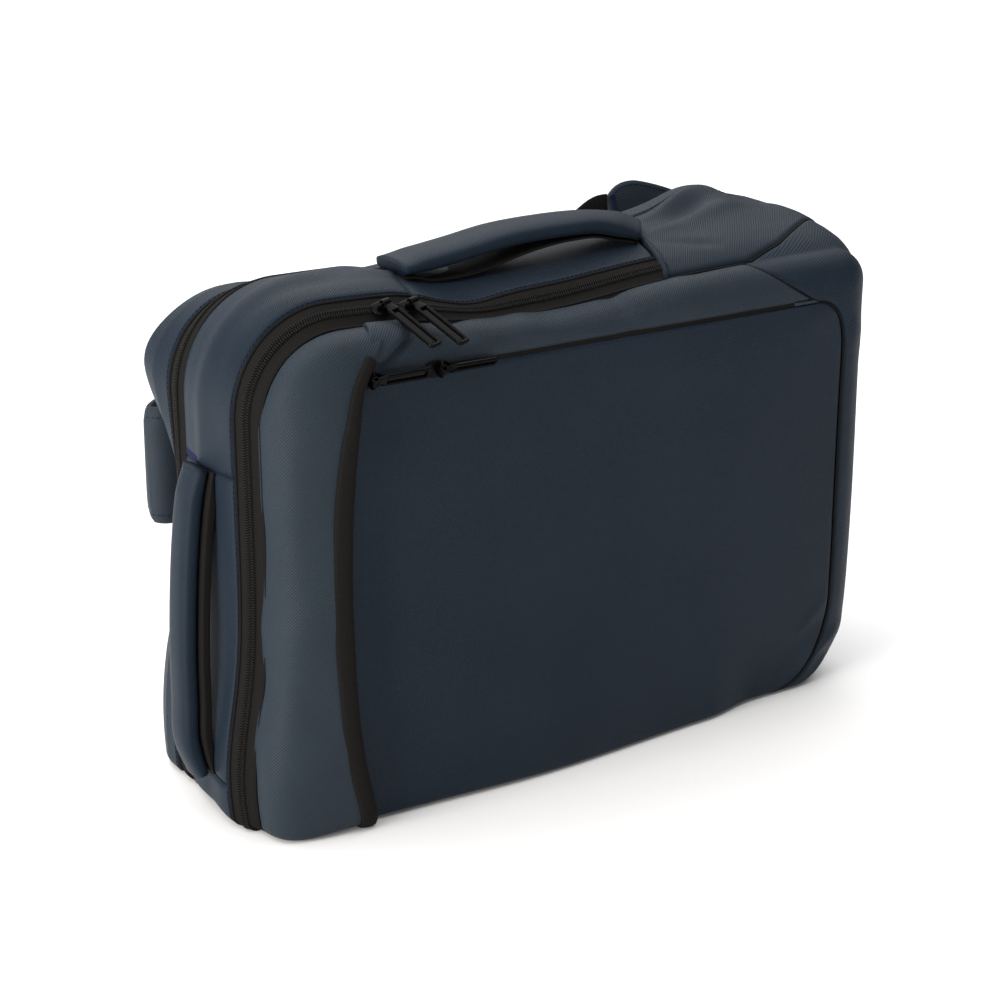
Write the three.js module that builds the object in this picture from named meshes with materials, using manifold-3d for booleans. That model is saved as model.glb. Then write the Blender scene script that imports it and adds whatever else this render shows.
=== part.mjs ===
// A convertible backpack in navy coated twill, standing on its long edge as a briefcase does.
// Millimetres, +Z up, +X along the bag's length, the front towards -Y.
// The origin is on the flat base, below the middle of the body.
import * as THREE from 'three';
import { mergeVertices } from 'three/addons/utils/BufferGeometryUtils.js';
import Module from 'manifold-3d';

const wasm = await Module();
wasm.setup();

// Driving sizes of the body
const BAG_LENGTH = 448;
const BAG_HEIGHT = 304;
const CORNER_RADIUS = { bottomRight: 54, topRight: 22, topLeft: 60, bottomLeft: 8 };
const LEAST_RADIUS = 6;
const SKIN = 2.4;
const TAPE = 1.2;
const TAPE_RECESS = 0.6;
const SEAM_GAP = 0.4;

// Steps round the outline: along each side after its corner, in each corner, and in a curved seam
const SIDE_STEPS = { bottomRight: 4, topRight: 9, topLeft: 6, bottomLeft: 5 };
const CORNER_STEPS = 6;
const SEAM_STEPS = 8;

// A cut reaches this far, past the whole bag, and points closer than the weld distance are one
const FAR = 400;
const WELD_DISTANCE = 1e-4;

// The base is pressed flat, so the front edge's round is much shallower there
const BASE_SHARE = 0.03;
const BASE_FULL_INSET = 170;

// Sections from the back towards the front: how far inside the outline, and at what depth
const GUSSET_SECTIONS = [
  { inset: 0, y: 37 },
  { inset: -2, y: 24 },
  { inset: -3, y: 8 },
  { inset: -2, y: -10 },
  { inset: 1, y: -24 },
];
const FRONT_EDGE_SECTIONS = [
  { inset: 1, y: -24 },
  { inset: 4.6, y: -32.5 },
  { inset: 9.5, y: -40 },
];
const REAR_TAPE_SECTIONS = [
  { inset: 0, y: 56.6 },
  { inset: 0, y: 46 },
  { inset: 0, y: 37 },
];
const FRONT_FACE_SECTIONS = [
  { inset: 9.5, y: -40 },
  { inset: 11.5, y: -48 },
  { inset: 17, y: -54.6 },
  { inset: 27, y: -58.8 },
  { inset: 46, y: -60.5 },
  { inset: 90, y: -62 },
  { inset: 140, y: -63 },
];
const LEFT_FACE_SECTIONS = [
  { inset: 9.5, y: -40 },
  { inset: 10.8, y: -49.5 },
  { inset: 15.5, y: -57.8 },
  { inset: 25, y: -63.4 },
  { inset: 38, y: -67.2 },
  { inset: 52, y: -70 },
  { inset: 66, y: -72 },
  { inset: 140, y: -72.5 },
];
const BACK_SECTIONS = [
  { inset: 0, y: 57 },
  { inset: 0, y: 70 },
  { inset: 3, y: 80 },
  { inset: 11, y: 87 },
  { inset: 26, y: 89.5 },
  { inset: 80, y: 92 },
  { inset: 140, y: 93 },
];

// How the soft body settles: its top sags, drops, crests, slumps, peaks and comes to a point, and its sides
// bulge at the foot, belly out, tuck in, and are pulled in by the straps below a puffed corner
const RISE_FROM_Z = 200;
const SAG = { depth: 7.5, x: -30, reach: 72, fromZ: 272, fromY: -24, fadeY: 90 };
const DROP = { depth: 4, x: -45, reach: 90, fromY: -24, fadeY: 16 };
const CREST = { height: 4.5, fromX: -88, fadeX: 34, fromY: 37, fadeY: 20, frontY: -44, frontFade: 36 };
const SLUMP = { depth: 8.5, x: -110, reach: 75 };
const BULGE = { out: 12, z: 30, reach: 60, fromY: -24, fadeY: 34, kept: 0.5 };
const BELLY = { out: 8, x: -50, reachX: 90, z: 15, reachZ: 70, fromY: -40, fadeY: 16 };
const TUCK = { back: 8, fromX: 90, fadeX: 45, reachZ: 45, fromY: -40, fadeY: 16 };
const DENT = { depth: 25, inward: 10, z: 165, reach: 55, fromY: 45, fadeY: 42 };
const PEAK = { height: 6, fromX: 60, fadeX: 90, fromY: -20, fadeY: 60 };
const POINT = { height: 13, x: 160, reach: 28, y: 57, fadeY: 28 };
const PUFF = { back: 12, left: 4, up: 5, z: 255, reach: 30, fromY: 57, fadeY: 28 };
const LEFT_END = { fromX: -140, fadeX: 84 };

// Seams of the front, in the front view
const BINDING = { x: -161, bow: 16, width: 10, thickness: 1.6, stand: 0.3, low: 1, high: 279 };
const BINDING_TURN = { fromZ: 266, slope: 0.75 };
const POCKET = { top: 266.5, right: 190, bottom: 0 };
const POCKET_ROUND = { topX: 24, topZ: 34, lowX: 50, lowZ: 64 };
const POCKET_ZIP = { height: 3, left: -168, right: 148, recess: 1.6 };
const SHOULDER_SEAM = { highX: 110, highZ: 302, lowX: 170 };

// Cross seams of the gusset: they slant a little from the back to the front
const WRAP_SEAM = { backX: 84, frontX: 61 };
const CORNER_SEAM = { backX: -97, frontX: -108 };
const SIDE_SEAM = { highZ: 212, lowZ: 27 };
const LOWER_WRAP_X = 70;
// The right front panel runs round the corner up to a seam on the wrap, in the plan
const SIDE_PANEL_SEAM = [
  { x: 126, y: -40 },
  { x: 158, y: -30 },
  { x: 208, y: -2 },
];

// Handles: a padded strap with a thin underside, and the line that its middle follows
const HANDLE = { endPad: 5, endShare: 0.16, sides: 12, steps: 18 };
const HANDLE_LINING = { margin: 1, thickness: 1.6, gap: 0.3, sides: 8 };
const TOP_HANDLE = { width: 34, pad: 11, y: 13 };
const TOP_HANDLE_LINE = [
  { x: 77, z: 312 },
  { x: 70, z: 314.2 },
  { x: 60, z: 316.6 },
  { x: 38, z: 320.2 },
  { x: 9, z: 321 },
  { x: -26, z: 319.6 },
  { x: -55, z: 315.8 },
  { x: -78, z: 313 },
  { x: -96, z: 311.2 },
];
const SIDE_HANDLE = { width: 22, pad: 10, y: 9 };
const SIDE_HANDLE_LINE = [
  { x: -232, z: 210 },
  { x: -236, z: 196 },
  { x: -239.5, z: 172 },
  { x: -242.5, z: 140 },
  { x: -244.5, z: 104 },
  { x: -245, z: 72 },
  { x: -245.4, z: 50 },
  { x: -242.4, z: 36 },
  { x: -240, z: 29 },
];

// Shoulder straps: the pad's middle line, for the upper strap
const STRAP = { width: 74, pad: 9, endWidth: 46, taperFrom: 0.67, sides: 12, steps: 22 };
const STRAP_LINE = [
  { x: -146, y: 98.6, z: 184 },
  { x: -174, y: 98.6, z: 184 },
  { x: -197, y: 98.2, z: 184 },
  { x: -210, y: 100, z: 184 },
  { x: -214, y: 106, z: 184 },
  { x: -206, y: 113, z: 185 },
  { x: -178, y: 119, z: 190 },
  { x: -118, y: 127, z: 203 },
  { x: -54, y: 131, z: 221 },
  { x: 4, y: 127, z: 236 },
  { x: 50, y: 120, z: 246 },
];
const BUCKLE = { length: 16, width: 34, thickness: 5 };
const WEBBING = { width: 25, thickness: 1.6, sides: 8, steps: 10 };
const WEBBING_LINE = [
  { x: 68, y: 116.4, z: 251.2 },
  { x: 75, y: 115, z: 253.4 },
  { x: 90, y: 111.4, z: 269 },
  { x: 102, y: 108.6, z: 289 },
  { x: 116, y: 107.2, z: 299.4 },
  { x: 124, y: 107, z: 300.2 },
];
const WING_TAB = { tipWidth: 36, rootWidth: 50, thickness: 5, sides: 12, steps: 8 };
const WING_TAB_LINE = [
  { x: 125.4, y: 107, z: 300.3 },
  { x: 140, y: 106, z: 300.6 },
  { x: 160, y: 102, z: 293.5 },
  { x: 182, y: 96, z: 281 },
];
// The lower strap mirrors the upper one about a height near the middle, clear of the floor,
// and its fold lies further in from the bag's left end
const STRAP_MIRROR = { z: 146, lowest: 3, foldIn: 26, foldX: -214, foldReach: 250 };

// How square a swept section is: 1 is an ellipse, and towards 0 it is a rectangle
const SQUARE_ROUND = 0.55;
const SQUARE_FLAT = 0.25;

// Zip sliders and pullers
const SLIDER = { length: 15, width: 9.5, noseWidth: 6.5, noseFrom: 2.6, plate: 2, lift: 1 };
const POST = { length: 1.6, width: 2.8, span: 9.4 };
const CROWN = { height: 6.2, radius: 0.9, sides: 8 };
const PULLER = { width: 8.6, thickness: 2.4, rail: 2.4, groove: 1, neckEnd: 7, neckOverlap: 1 };
const BARREL = { radius: 2.5, bore: 1.4, width: 5.4, sides: 12 };
const MAIN_PULLER_LENGTH = 43;
const POCKET_PULLER_LENGTH = 36;
const MAIN_SLIDER_X = { left: -132, right: -114 };
const MAIN_SLIDER_YAW = THREE.MathUtils.degToRad(15);
const MAIN_PULLER_LIFT = THREE.MathUtils.degToRad(11);
const POCKET_SLIDER_X = { left: -157, right: -113 };
const POCKET_SLIDER_Y = -59.6;
const REAR_SLIDER = { x: -42, y: 47, length: 15, width: 10, height: 5, lift: 0.8 };

// Colours from the photograph
const NAVY = { color: 0x1b222d, roughness: 0.55, metalness: 0 };
const TAPE_BLACK = { color: 0x171615, roughness: 0.85, metalness: 0 };
const LINING_BLACK = { color: 0x141416, roughness: 0.8, metalness: 0 };
const METAL_BLACK = { color: 0x0c0c0d, roughness: 0.25, metalness: 0.6 };
const PLASTIC_BLACK = { color: 0x111112, roughness: 0.5, metalness: 0 };

const bag = new THREE.Group();

// Small shared maths
function smooth(value) {
  return THREE.MathUtils.smoothstep(value, 0, 1);
}

function bell(value) {
  return Math.exp(-value * value);
}

// Moves a point of the tidy body to where the soft body lets it settle
function settle(point) {
  const { x, y, z } = point;
  const upper = smooth((z - RISE_FROM_Z) / (BAG_HEIGHT - RISE_FROM_Z));
  const top = smooth((z - SAG.fromZ) / (BAG_HEIGHT - SAG.fromZ));
  const byZip = 1 - smooth((y - SAG.fromY) / SAG.fadeY);
  const left = smooth((LEFT_END.fromX - x) / LEFT_END.fadeX);
  const behind = smooth((y - CREST.fromY) / CREST.fadeY);
  const sag = SAG.depth * bell((x - SAG.x) / SAG.reach) * top * byZip;
  const drop = DROP.depth * bell((x - DROP.x) / DROP.reach) * smooth((DROP.fromY - y) / DROP.fadeY) * top;
  const crest = CREST.height * smooth((CREST.fromX - x) / CREST.fadeX) * (1 - behind) * upper
    * smooth((y - CREST.frontY) / CREST.frontFade);
  const slump = SLUMP.depth * bell((x - SLUMP.x) / SLUMP.reach) * behind * upper;
  const rightward = smooth((x - PEAK.fromX) / PEAK.fadeX);
  const peak = PEAK.height * rightward * smooth((y - PEAK.fromY) / PEAK.fadeY) * upper;
  const atPoint = POINT.height * bell((x - POINT.x) / POINT.reach) * bell((y - POINT.y) / POINT.fadeY)
    * upper;
  const forward = 1 - (1 - BULGE.kept) * smooth((y - BULGE.fromY) / BULGE.fadeY);
  const bulge = BULGE.out * bell((z - BULGE.z) / BULGE.reach) * left * forward;
  const pulled = bell((z - DENT.z) / DENT.reach) * left * smooth((y - DENT.fromY) / DENT.fadeY);
  const puff = bell((z - PUFF.z) / PUFF.reach) * left * smooth((y - PUFF.fromY) / PUFF.fadeY);
  const belly = BELLY.out * bell((x - BELLY.x) / BELLY.reachX) * bell((z - BELLY.z) / BELLY.reachZ)
    * smooth((BELLY.fromY - y) / BELLY.fadeY);
  const tuck = TUCK.back * smooth((x - TUCK.fromX) / TUCK.fadeX) * bell(z / TUCK.reachZ)
    * smooth((TUCK.fromY - y) / TUCK.fadeY);
  return new THREE.Vector3(
    x - bulge + DENT.inward * pulled - PUFF.left * puff,
    y - DENT.depth * pulled + PUFF.back * puff - belly + tuck,
    z - sag - drop + crest - slump + peak + atPoint + PUFF.up * puff,
  );
}

// How high the lower side of the outline is at an inset from the full outline
function baseHeight(inset) {
  const share = BASE_SHARE + (1 - BASE_SHARE) * smooth(inset / BASE_FULL_INSET);
  return Math.max(0, inset * share);
}

// One ring of points round the bag, anticlockwise as the front view shows it
function outlineRing({ inset, y }) {
  const right = BAG_LENGTH / 2 - inset;
  const top = BAG_HEIGHT - inset;
  const low = baseHeight(inset);
  const corners = [
    { name: 'bottomRight', x: right, z: low, turn: -90, sx: -1, sz: 1 },
    { name: 'topRight', x: right, z: top, turn: 0, sx: -1, sz: -1 },
    { name: 'topLeft', x: -right, z: top, turn: 90, sx: 1, sz: -1 },
    { name: 'bottomLeft', x: -right, z: low, turn: 180, sx: 1, sz: 1 },
  ];
  const arcs = corners.map((corner) => {
    const radius = Math.max(CORNER_RADIUS[corner.name] - inset, LEAST_RADIUS);
    const centre = { x: corner.x + corner.sx * radius, z: corner.z + corner.sz * radius };
    return Array.from({ length: CORNER_STEPS + 1 }, (_, step) => {
      const angle = THREE.MathUtils.degToRad(corner.turn + (90 * step) / CORNER_STEPS);
      return new THREE.Vector3(centre.x + radius * Math.cos(angle), y, centre.z + radius * Math.sin(angle));
    });
  });
  const points = [];
  arcs.forEach((arc, index) => {
    points.push(...arc);
    const next = arcs[(index + 1) % arcs.length][0];
    const steps = SIDE_STEPS[corners[index].name];
    for (let step = 1; step < steps; step += 1) {
      points.push(arc.at(-1).clone().lerp(next, step / steps));
    }
  });
  return points.map(settle);
}

function sectionRows(sections, extraInset = 0) {
  return sections.map((section) => outlineRing({ inset: section.inset + extraInset, y: section.y }));
}

// The unit normals of a grid of points: rows run across, columns run right round
function gridNormals(rows, outward) {
  return rows.map((row, r) => row.map((_, c) => {
    const count = row.length;
    const along = row[(c + 1) % count].clone().sub(row[(c - 1 + count) % count]);
    const across = rows[Math.min(r + 1, rows.length - 1)][c].clone().sub(rows[Math.max(r - 1, 0)][c]);
    return along.cross(across).normalize().multiplyScalar(outward);
  }));
}

// At a rim the wall's edge is square to the bag's depth, so that neighbours meet edge to edge
function squareRim(normals) {
  return normals.map((normal) => normal.setY(0).normalize());
}

// The same grid, moved along its normals
function moved(rows, normals, distance) {
  return rows.map((row, r) => row.map((p, c) => p.clone().addScaledVector(normals[r][c], distance)));
}

function raised(rows, height) {
  return moved(rows, gridNormals(rows, 1), height);
}

// A wall of even thickness inside a grid of points. A cup's last row is closed over.
function wall(rows, { thickness, cup = false, outward = 1 }) {
  const normals = gridNormals(rows, outward);
  squareRim(normals[0]);
  if (!cup) {
    squareRim(normals.at(-1));
  }
  const inner = moved(rows, normals, -thickness);
  const count = rows[0].length;
  const layer = rows.length * count;
  const positions = [...rows.flat(), ...inner.flat()].flatMap((p) => [p.x, p.y, p.z]);
  const faces = [];
  const triangle = (a, b, c) => faces.push(...(outward > 0 ? [a, b, c] : [a, c, b]));
  const quad = (a, b, c, d) => {
    triangle(a, b, c);
    triangle(a, c, d);
  };
  const at = (r, c) => r * count + (c % count);
  for (let c = 0; c < count; c += 1) {
    for (let r = 0; r + 1 < rows.length; r += 1) {
      quad(at(r, c), at(r, c + 1), at(r + 1, c + 1), at(r + 1, c));
      quad(layer + at(r, c), layer + at(r + 1, c), layer + at(r + 1, c + 1), layer + at(r, c + 1));
    }
    quad(at(0, c), layer + at(0, c), layer + at(0, c + 1), at(0, c + 1));
    if (!cup) {
      const last = rows.length - 1;
      quad(at(last, c), at(last, c + 1), layer + at(last, c + 1), layer + at(last, c));
    }
  }
  if (cup) {
    const start = layer - count;
    const contour = rows.at(-1).map((p) => new THREE.Vector2(p.x, p.z));
    for (const [a, b, c] of THREE.ShapeUtils.triangulateShape(contour, [])) {
      triangle(start + a, start + b, start + c);
      triangle(layer + start + a, layer + start + c, layer + start + b);
    }
  }
  const geometry = new THREE.BufferGeometry();
  geometry.setAttribute('position', new THREE.Float32BufferAttribute(positions, 3));
  geometry.setIndex(faces);
  return geometry;
}

// Booleans
function solidOf(geometry) {
  const bare = geometry.clone();
  bare.deleteAttribute('normal');
  bare.deleteAttribute('uv');
  const merged = mergeVertices(bare, WELD_DISTANCE);
  return new wasm.Manifold(new wasm.Mesh({
    numProp: 3,
    vertProperties: new Float32Array(merged.attributes.position.array),
    triVerts: new Uint32Array(merged.index.array),
  }));
}

function geometryOf(solid) {
  const mesh = solid.getMesh();
  const geometry = new THREE.BufferGeometry();
  geometry.setAttribute('position', new THREE.BufferAttribute(new Float32Array(mesh.vertProperties), 3));
  geometry.setIndex(new THREE.BufferAttribute(new Uint32Array(mesh.triVerts), 1));
  return geometry;
}

function common(first, ...others) {
  return geometryOf(others.reduce((sum, other) => sum.intersect(solidOf(other)), solidOf(first)));
}

function without(first, ...others) {
  return geometryOf(others.reduce((sum, other) => sum.subtract(solidOf(other)), solidOf(first)));
}

function joined(first, ...others) {
  return geometryOf(others.reduce((sum, other) => sum.add(solidOf(other)), solidOf(first)));
}

// Cutting prisms: a shape in the front view or in the plan, run right through the bag
function frontPrism(shape) {
  const options = { depth: 2 * FAR, bevelEnabled: false, curveSegments: SEAM_STEPS };
  return new THREE.ExtrudeGeometry(shape, options).rotateX(Math.PI / 2).translate(0, FAR, 0);
}

function planPrism(points, lowZ, highZ) {
  const shape = new THREE.Shape(points.map(([x, y]) => new THREE.Vector2(x, y)));
  const geometry = new THREE.ExtrudeGeometry(shape, { depth: highZ - lowZ, bevelEnabled: false });
  return geometry.translate(0, 0, lowZ);
}

function block(low, high) {
  const size = new THREE.Vector3().subVectors(high, low);
  const middle = new THREE.Vector3().addVectors(low, high).multiplyScalar(0.5);
  return new THREE.BoxGeometry(size.x, size.y, size.z).translate(middle.x, middle.y, middle.z);
}

function add(name, geometry, look, parent = bag) {
  const mesh = new THREE.Mesh(geometry, new THREE.MeshStandardMaterial(look));
  mesh.name = name;
  parent.add(mesh);
  return mesh;
}

// Front panels
// The binding's line bows to the left, and near its top it turns to the right
function bindingX(z) {
  const bow = BINDING.bow * (1 - (2 * z / BAG_HEIGHT - 1) ** 2);
  return BINDING.x - bow + BINDING_TURN.slope * Math.max(0, z - BINDING_TURN.fromZ);
}

function leftOfBinding(offset) {
  const shape = new THREE.Shape();
  shape.moveTo(-FAR, -FAR);
  shape.lineTo(bindingX(0) + offset, -FAR);
  for (let step = 0; step <= SEAM_STEPS; step += 1) {
    const z = BAG_HEIGHT * step / SEAM_STEPS;
    shape.lineTo(bindingX(z) + offset, z);
  }
  shape.lineTo(bindingX(BAG_HEIGHT) + offset, FAR);
  shape.lineTo(-FAR, FAR);
  return shape;
}

function pocketShape(grow) {
  const right = POCKET.right + grow;
  const top = POCKET.top + grow;
  const low = POCKET.bottom - grow;
  const shape = new THREE.Shape();
  shape.moveTo(-FAR, low);
  shape.lineTo(right - POCKET_ROUND.lowX, low);
  shape.quadraticCurveTo(right, low, right, low + POCKET_ROUND.lowZ);
  shape.lineTo(right, top - POCKET_ROUND.topZ);
  shape.quadraticCurveTo(right, top, right - POCKET_ROUND.topX, top);
  shape.lineTo(-FAR, top);
  return shape;
}

// What lies above the pocket zip, with the short tongue that closes its right end
function aboveZip(gap) {
  const zipTop = POCKET.top + POCKET_ZIP.height + SEAM_GAP + gap;
  const tongueLeft = POCKET_ZIP.right + gap;
  const slope = (SHOULDER_SEAM.highZ - POCKET.top) / (SHOULDER_SEAM.highX - SHOULDER_SEAM.lowX);
  const shoulderX = (z) => SHOULDER_SEAM.lowX + (z - POCKET.top) / slope;
  const shape = new THREE.Shape();
  shape.moveTo(-FAR, zipTop);
  shape.lineTo(tongueLeft, zipTop);
  shape.lineTo(tongueLeft, POCKET.top + gap);
  shape.lineTo(shoulderX(POCKET.top + gap) - gap, POCKET.top + gap);
  shape.lineTo(shoulderX(FAR) - gap, FAR);
  shape.lineTo(-FAR, FAR);
  return shape;
}

function addFrontPanels() {
  const face = wall(sectionRows(FRONT_FACE_SECTIONS), { thickness: SKIN, cup: true });
  const puffyFace = wall(sectionRows(LEFT_FACE_SECTIONS), { thickness: SKIN, cup: true });
  const leftEdge = frontPrism(leftOfBinding(0));
  const pocket = frontPrism(pocketShape(0));
  const pocketRoom = frontPrism(pocketShape(SEAM_GAP));
  const above = frontPrism(aboveZip(SEAM_GAP));
  const aboveRoom = frontPrism(aboveZip(0));
  const besideBinding = frontPrism(leftOfBinding(SEAM_GAP));
  const zipBand = block(
    new THREE.Vector3(-FAR, -FAR, POCKET.top + SEAM_GAP),
    new THREE.Vector3(POCKET_ZIP.right, FAR, POCKET.top + POCKET_ZIP.height + SEAM_GAP),
  );
  const sideSections = [
    ...GUSSET_SECTIONS.slice(2),
    ...FRONT_EDGE_SECTIONS.slice(1),
    ...FRONT_FACE_SECTIONS.slice(1),
  ];
  const sideFace = wall(sectionRows(sideSections), { thickness: SKIN, cup: true });
  const rightHalf = block(new THREE.Vector3(0, -FAR, -FAR), new THREE.Vector3(FAR, FAR, FAR));
  add('left_front_panel', common(puffyFace, leftEdge), NAVY);
  add('front_pocket_panel', without(common(face, pocket), besideBinding), NAVY);
  add('upper_front_panel', without(common(face, above), besideBinding), NAVY);
  const side = common(sideFace, rightHalf, inFrontOfSideSeam(0));
  add('right_front_panel', without(side, pocketRoom, aboveRoom, zipBand), NAVY);
  addPocketZip();
  addBinding();
}

function addPocketZip() {
  const rows = raised(sectionRows(FRONT_FACE_SECTIONS), -POCKET_ZIP.recess);
  const face = wall(rows, { thickness: TAPE, cup: true });
  const band = block(
    new THREE.Vector3(POCKET_ZIP.left, -FAR, POCKET.top + SEAM_GAP),
    new THREE.Vector3(POCKET_ZIP.right - SEAM_GAP, 0, POCKET.top + POCKET_ZIP.height),
  );
  add('pocket_zip_tape', without(common(face, band), frontPrism(leftOfBinding(SEAM_GAP))), TAPE_BLACK);
}

// The binding wraps the puffy panel's free edge and stands just proud of it
function addBinding() {
  const rows = raised(sectionRows(LEFT_FACE_SECTIONS), BINDING.thickness + BINDING.stand);
  const face = wall(rows, { thickness: BINDING.thickness, cup: true });
  const strip = without(
    common(face, frontPrism(leftOfBinding(0))),
    frontPrism(leftOfBinding(-BINDING.width)),
  );
  const pastRim = block(
    new THREE.Vector3(-FAR, -FAR, BINDING.low),
    new THREE.Vector3(FAR, LEFT_FACE_SECTIONS[1].y, BINDING.high),
  );
  add('left_panel_binding', common(strip, pastRim), TAPE_BLACK);
}

// All that lies in front of the seam between the right front panel and the wrap
function inFrontOfSideSeam(gap) {
  const seam = SIDE_PANEL_SEAM.map(({ x, y }) => [x - gap, y + gap]);
  const leftEnd = [-FAR, seam[0][1]];
  const rightEnd = [FAR, seam.at(-1)[1]];
  return planPrism([[-FAR, -FAR], [FAR, -FAR], rightEnd, ...seam.reverse(), leftEnd], -FAR, FAR);
}

// Zips round the body, the gusset between them and the wrap at the right end
function seamX(seam, y) {
  const back = GUSSET_SECTIONS[0].y;
  const front = FRONT_EDGE_SECTIONS.at(-1).y;
  return seam.backX + ((seam.frontX - seam.backX) * (back - y)) / (back - front);
}

function rightOf(seam, offset, lowZ, highZ) {
  const near = [seamX(seam, -FAR) + offset, -FAR];
  const away = [seamX(seam, FAR) + offset, FAR];
  return planPrism([near, [2 * FAR, -FAR], [2 * FAR, FAR], away], lowZ, highZ);
}

// All that lies right of the wrap's edge, on the top and on the base
function wrapZone(offset) {
  const lower = { backX: LOWER_WRAP_X, frontX: LOWER_WRAP_X };
  const middle = BAG_HEIGHT / 2;
  return joined(rightOf(WRAP_SEAM, offset, middle, FAR), rightOf(lower, offset, -FAR, middle));
}

// The sections with their first and last rows drawn in by the seam gaps
function shortened(sections, backGap, frontGap) {
  const first = { ...sections[0], y: sections[0].y - backGap };
  const last = { ...sections.at(-1), y: sections.at(-1).y + frontGap };
  return [first, ...sections.slice(1, -1), last];
}

function addWalls() {
  const whole = [...REAR_TAPE_SECTIONS, ...GUSSET_SECTIONS.slice(1), ...FRONT_EDGE_SECTIONS.slice(1)];
  const wrapRows = shortened(whole, 0, SEAM_GAP);
  const gussetRows = shortened(GUSSET_SECTIONS, SEAM_GAP, SEAM_GAP);
  const gusset = without(wall(sectionRows(gussetRows), { thickness: SKIN }), wrapZone(-SEAM_GAP));
  const wrap = common(wall(sectionRows(wrapRows), { thickness: SKIN }), wrapZone(0));
  add('end_wrap_panel', without(wrap, inFrontOfSideSeam(SEAM_GAP)), NAVY);

  const fromCorner = rightOf(CORNER_SEAM, 0, SIDE_SEAM.highZ, FAR);
  const leftOfCorner = without(
    block(new THREE.Vector3(-FAR, -FAR, SIDE_SEAM.highZ), new THREE.Vector3(0, FAR, FAR)),
    rightOf(CORNER_SEAM, -SEAM_GAP, -FAR, FAR),
  );
  const sideZone = block(
    new THREE.Vector3(-FAR, -FAR, SIDE_SEAM.lowZ + SEAM_GAP),
    new THREE.Vector3(0, FAR, SIDE_SEAM.highZ - SEAM_GAP),
  );
  const bottomZone = block(
    new THREE.Vector3(-FAR, -FAR, -FAR),
    new THREE.Vector3(FAR, FAR, SIDE_SEAM.lowZ),
  );
  add('gusset_top', common(gusset, fromCorner), NAVY);
  add('gusset_corner', common(gusset, leftOfCorner), NAVY);
  add('gusset_side', common(gusset, sideZone), NAVY);
  add('gusset_bottom', common(gusset, bottomZone), NAVY);
}

function addZipTapes() {
  const mainSections = shortened(FRONT_EDGE_SECTIONS, 0, SEAM_GAP);
  const main = wall(sectionRows(mainSections, TAPE_RECESS), { thickness: TAPE });
  add('main_zip_tape', without(main, wrapZone(-SEAM_GAP)), TAPE_BLACK);
  const rear = wall(sectionRows(REAR_TAPE_SECTIONS, TAPE_RECESS), { thickness: TAPE });
  add('rear_zip_tape', without(rear, wrapZone(-SEAM_GAP)), TAPE_BLACK);
}

function addBackShell() {
  add('back_shell', wall(sectionRows(BACK_SECTIONS), { thickness: SKIN, cup: true, outward: -1 }), NAVY);
}

// A closed tube along a line: at each step its section is a rounded rectangle across the line
function sweep(line, { steps, sides }, acrossAxis, sectionAt) {
  const curve = new THREE.CatmullRomCurve3(line, false, 'centripetal');
  const rings = [];
  for (let step = 0; step <= steps; step += 1) {
    const share = step / steps;
    const middle = curve.getPointAt(share);
    const along = curve.getTangentAt(share);
    const thick = new THREE.Vector3().crossVectors(along, acrossAxis).normalize();
    const across = new THREE.Vector3().crossVectors(thick, along).normalize();
    const section = sectionAt(share);
    rings.push(Array.from({ length: sides }, (_, side) => {
      const angle = (2 * Math.PI * (side + 0.5)) / sides;
      const cos = Math.cos(angle);
      const sin = Math.sin(angle);
      const wide = Math.sign(cos) * Math.abs(cos) ** section.square * section.width * 0.5;
      const high = Math.sign(sin) * Math.abs(sin) ** section.square * section.thickness * 0.5;
      return middle.clone().addScaledVector(across, wide).addScaledVector(thick, high + section.lift);
    }));
  }
  return tube(rings);
}

function tube(rings) {
  const count = rings[0].length;
  const positions = rings.flat().flatMap((p) => [p.x, p.y, p.z]);
  const faces = [];
  for (let r = 0; r + 1 < rings.length; r += 1) {
    for (let c = 0; c < count; c += 1) {
      const next = (c + 1) % count;
      const [a, b] = [r * count + c, r * count + next];
      const [d, e] = [a + count, b + count];
      faces.push(a, b, e, a, e, d);
    }
  }
  const last = (rings.length - 1) * count;
  for (let c = 1; c + 1 < count; c += 1) {
    faces.push(0, c + 1, c);
    faces.push(last, last + c, last + c + 1);
  }
  const geometry = new THREE.BufferGeometry();
  geometry.setAttribute('position', new THREE.Float32BufferAttribute(positions, 3));
  geometry.setIndex(faces);
  return geometry;
}

// Handles
function addHandle(name, { width, pad, y }, points) {
  const line = points.map(({ x, z }) => new THREE.Vector3(x, y, z));
  const across = new THREE.Vector3(0, 1, 0);
  const fullness = (share) => smooth(Math.min(share, 1 - share) / HANDLE.endShare);
  const padAt = (share) => THREE.MathUtils.lerp(HANDLE.endPad, pad, fullness(share));
  const outer = sweep(line, HANDLE, across, (share) => ({
    width,
    thickness: padAt(share),
    square: SQUARE_ROUND,
    lift: 0,
  }));
  // The underside lies just under the pad, on the side of the bag
  const lining = sweep(line, { steps: HANDLE.steps, sides: HANDLE_LINING.sides }, across, (share) => ({
    width: width - 2 * HANDLE_LINING.margin,
    thickness: HANDLE_LINING.thickness,
    square: SQUARE_FLAT,
    lift: (padAt(share) + HANDLE_LINING.thickness) / 2 + HANDLE_LINING.gap,
  }));
  add(name, outer, NAVY);
  add(`${name}_underside`, lining, LINING_BLACK);
}

// Straps behind the bag
function mirroredLine(points, halfWidth) {
  return points.map(({ x, y, z }) => {
    const low = 2 * STRAP_MIRROR.z - z;
    const inward = STRAP_MIRROR.foldIn * (1 - smooth((x - STRAP_MIRROR.foldX) / STRAP_MIRROR.foldReach));
    return new THREE.Vector3(x + inward, y, Math.max(low, halfWidth + STRAP_MIRROR.lowest));
  });
}

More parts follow.
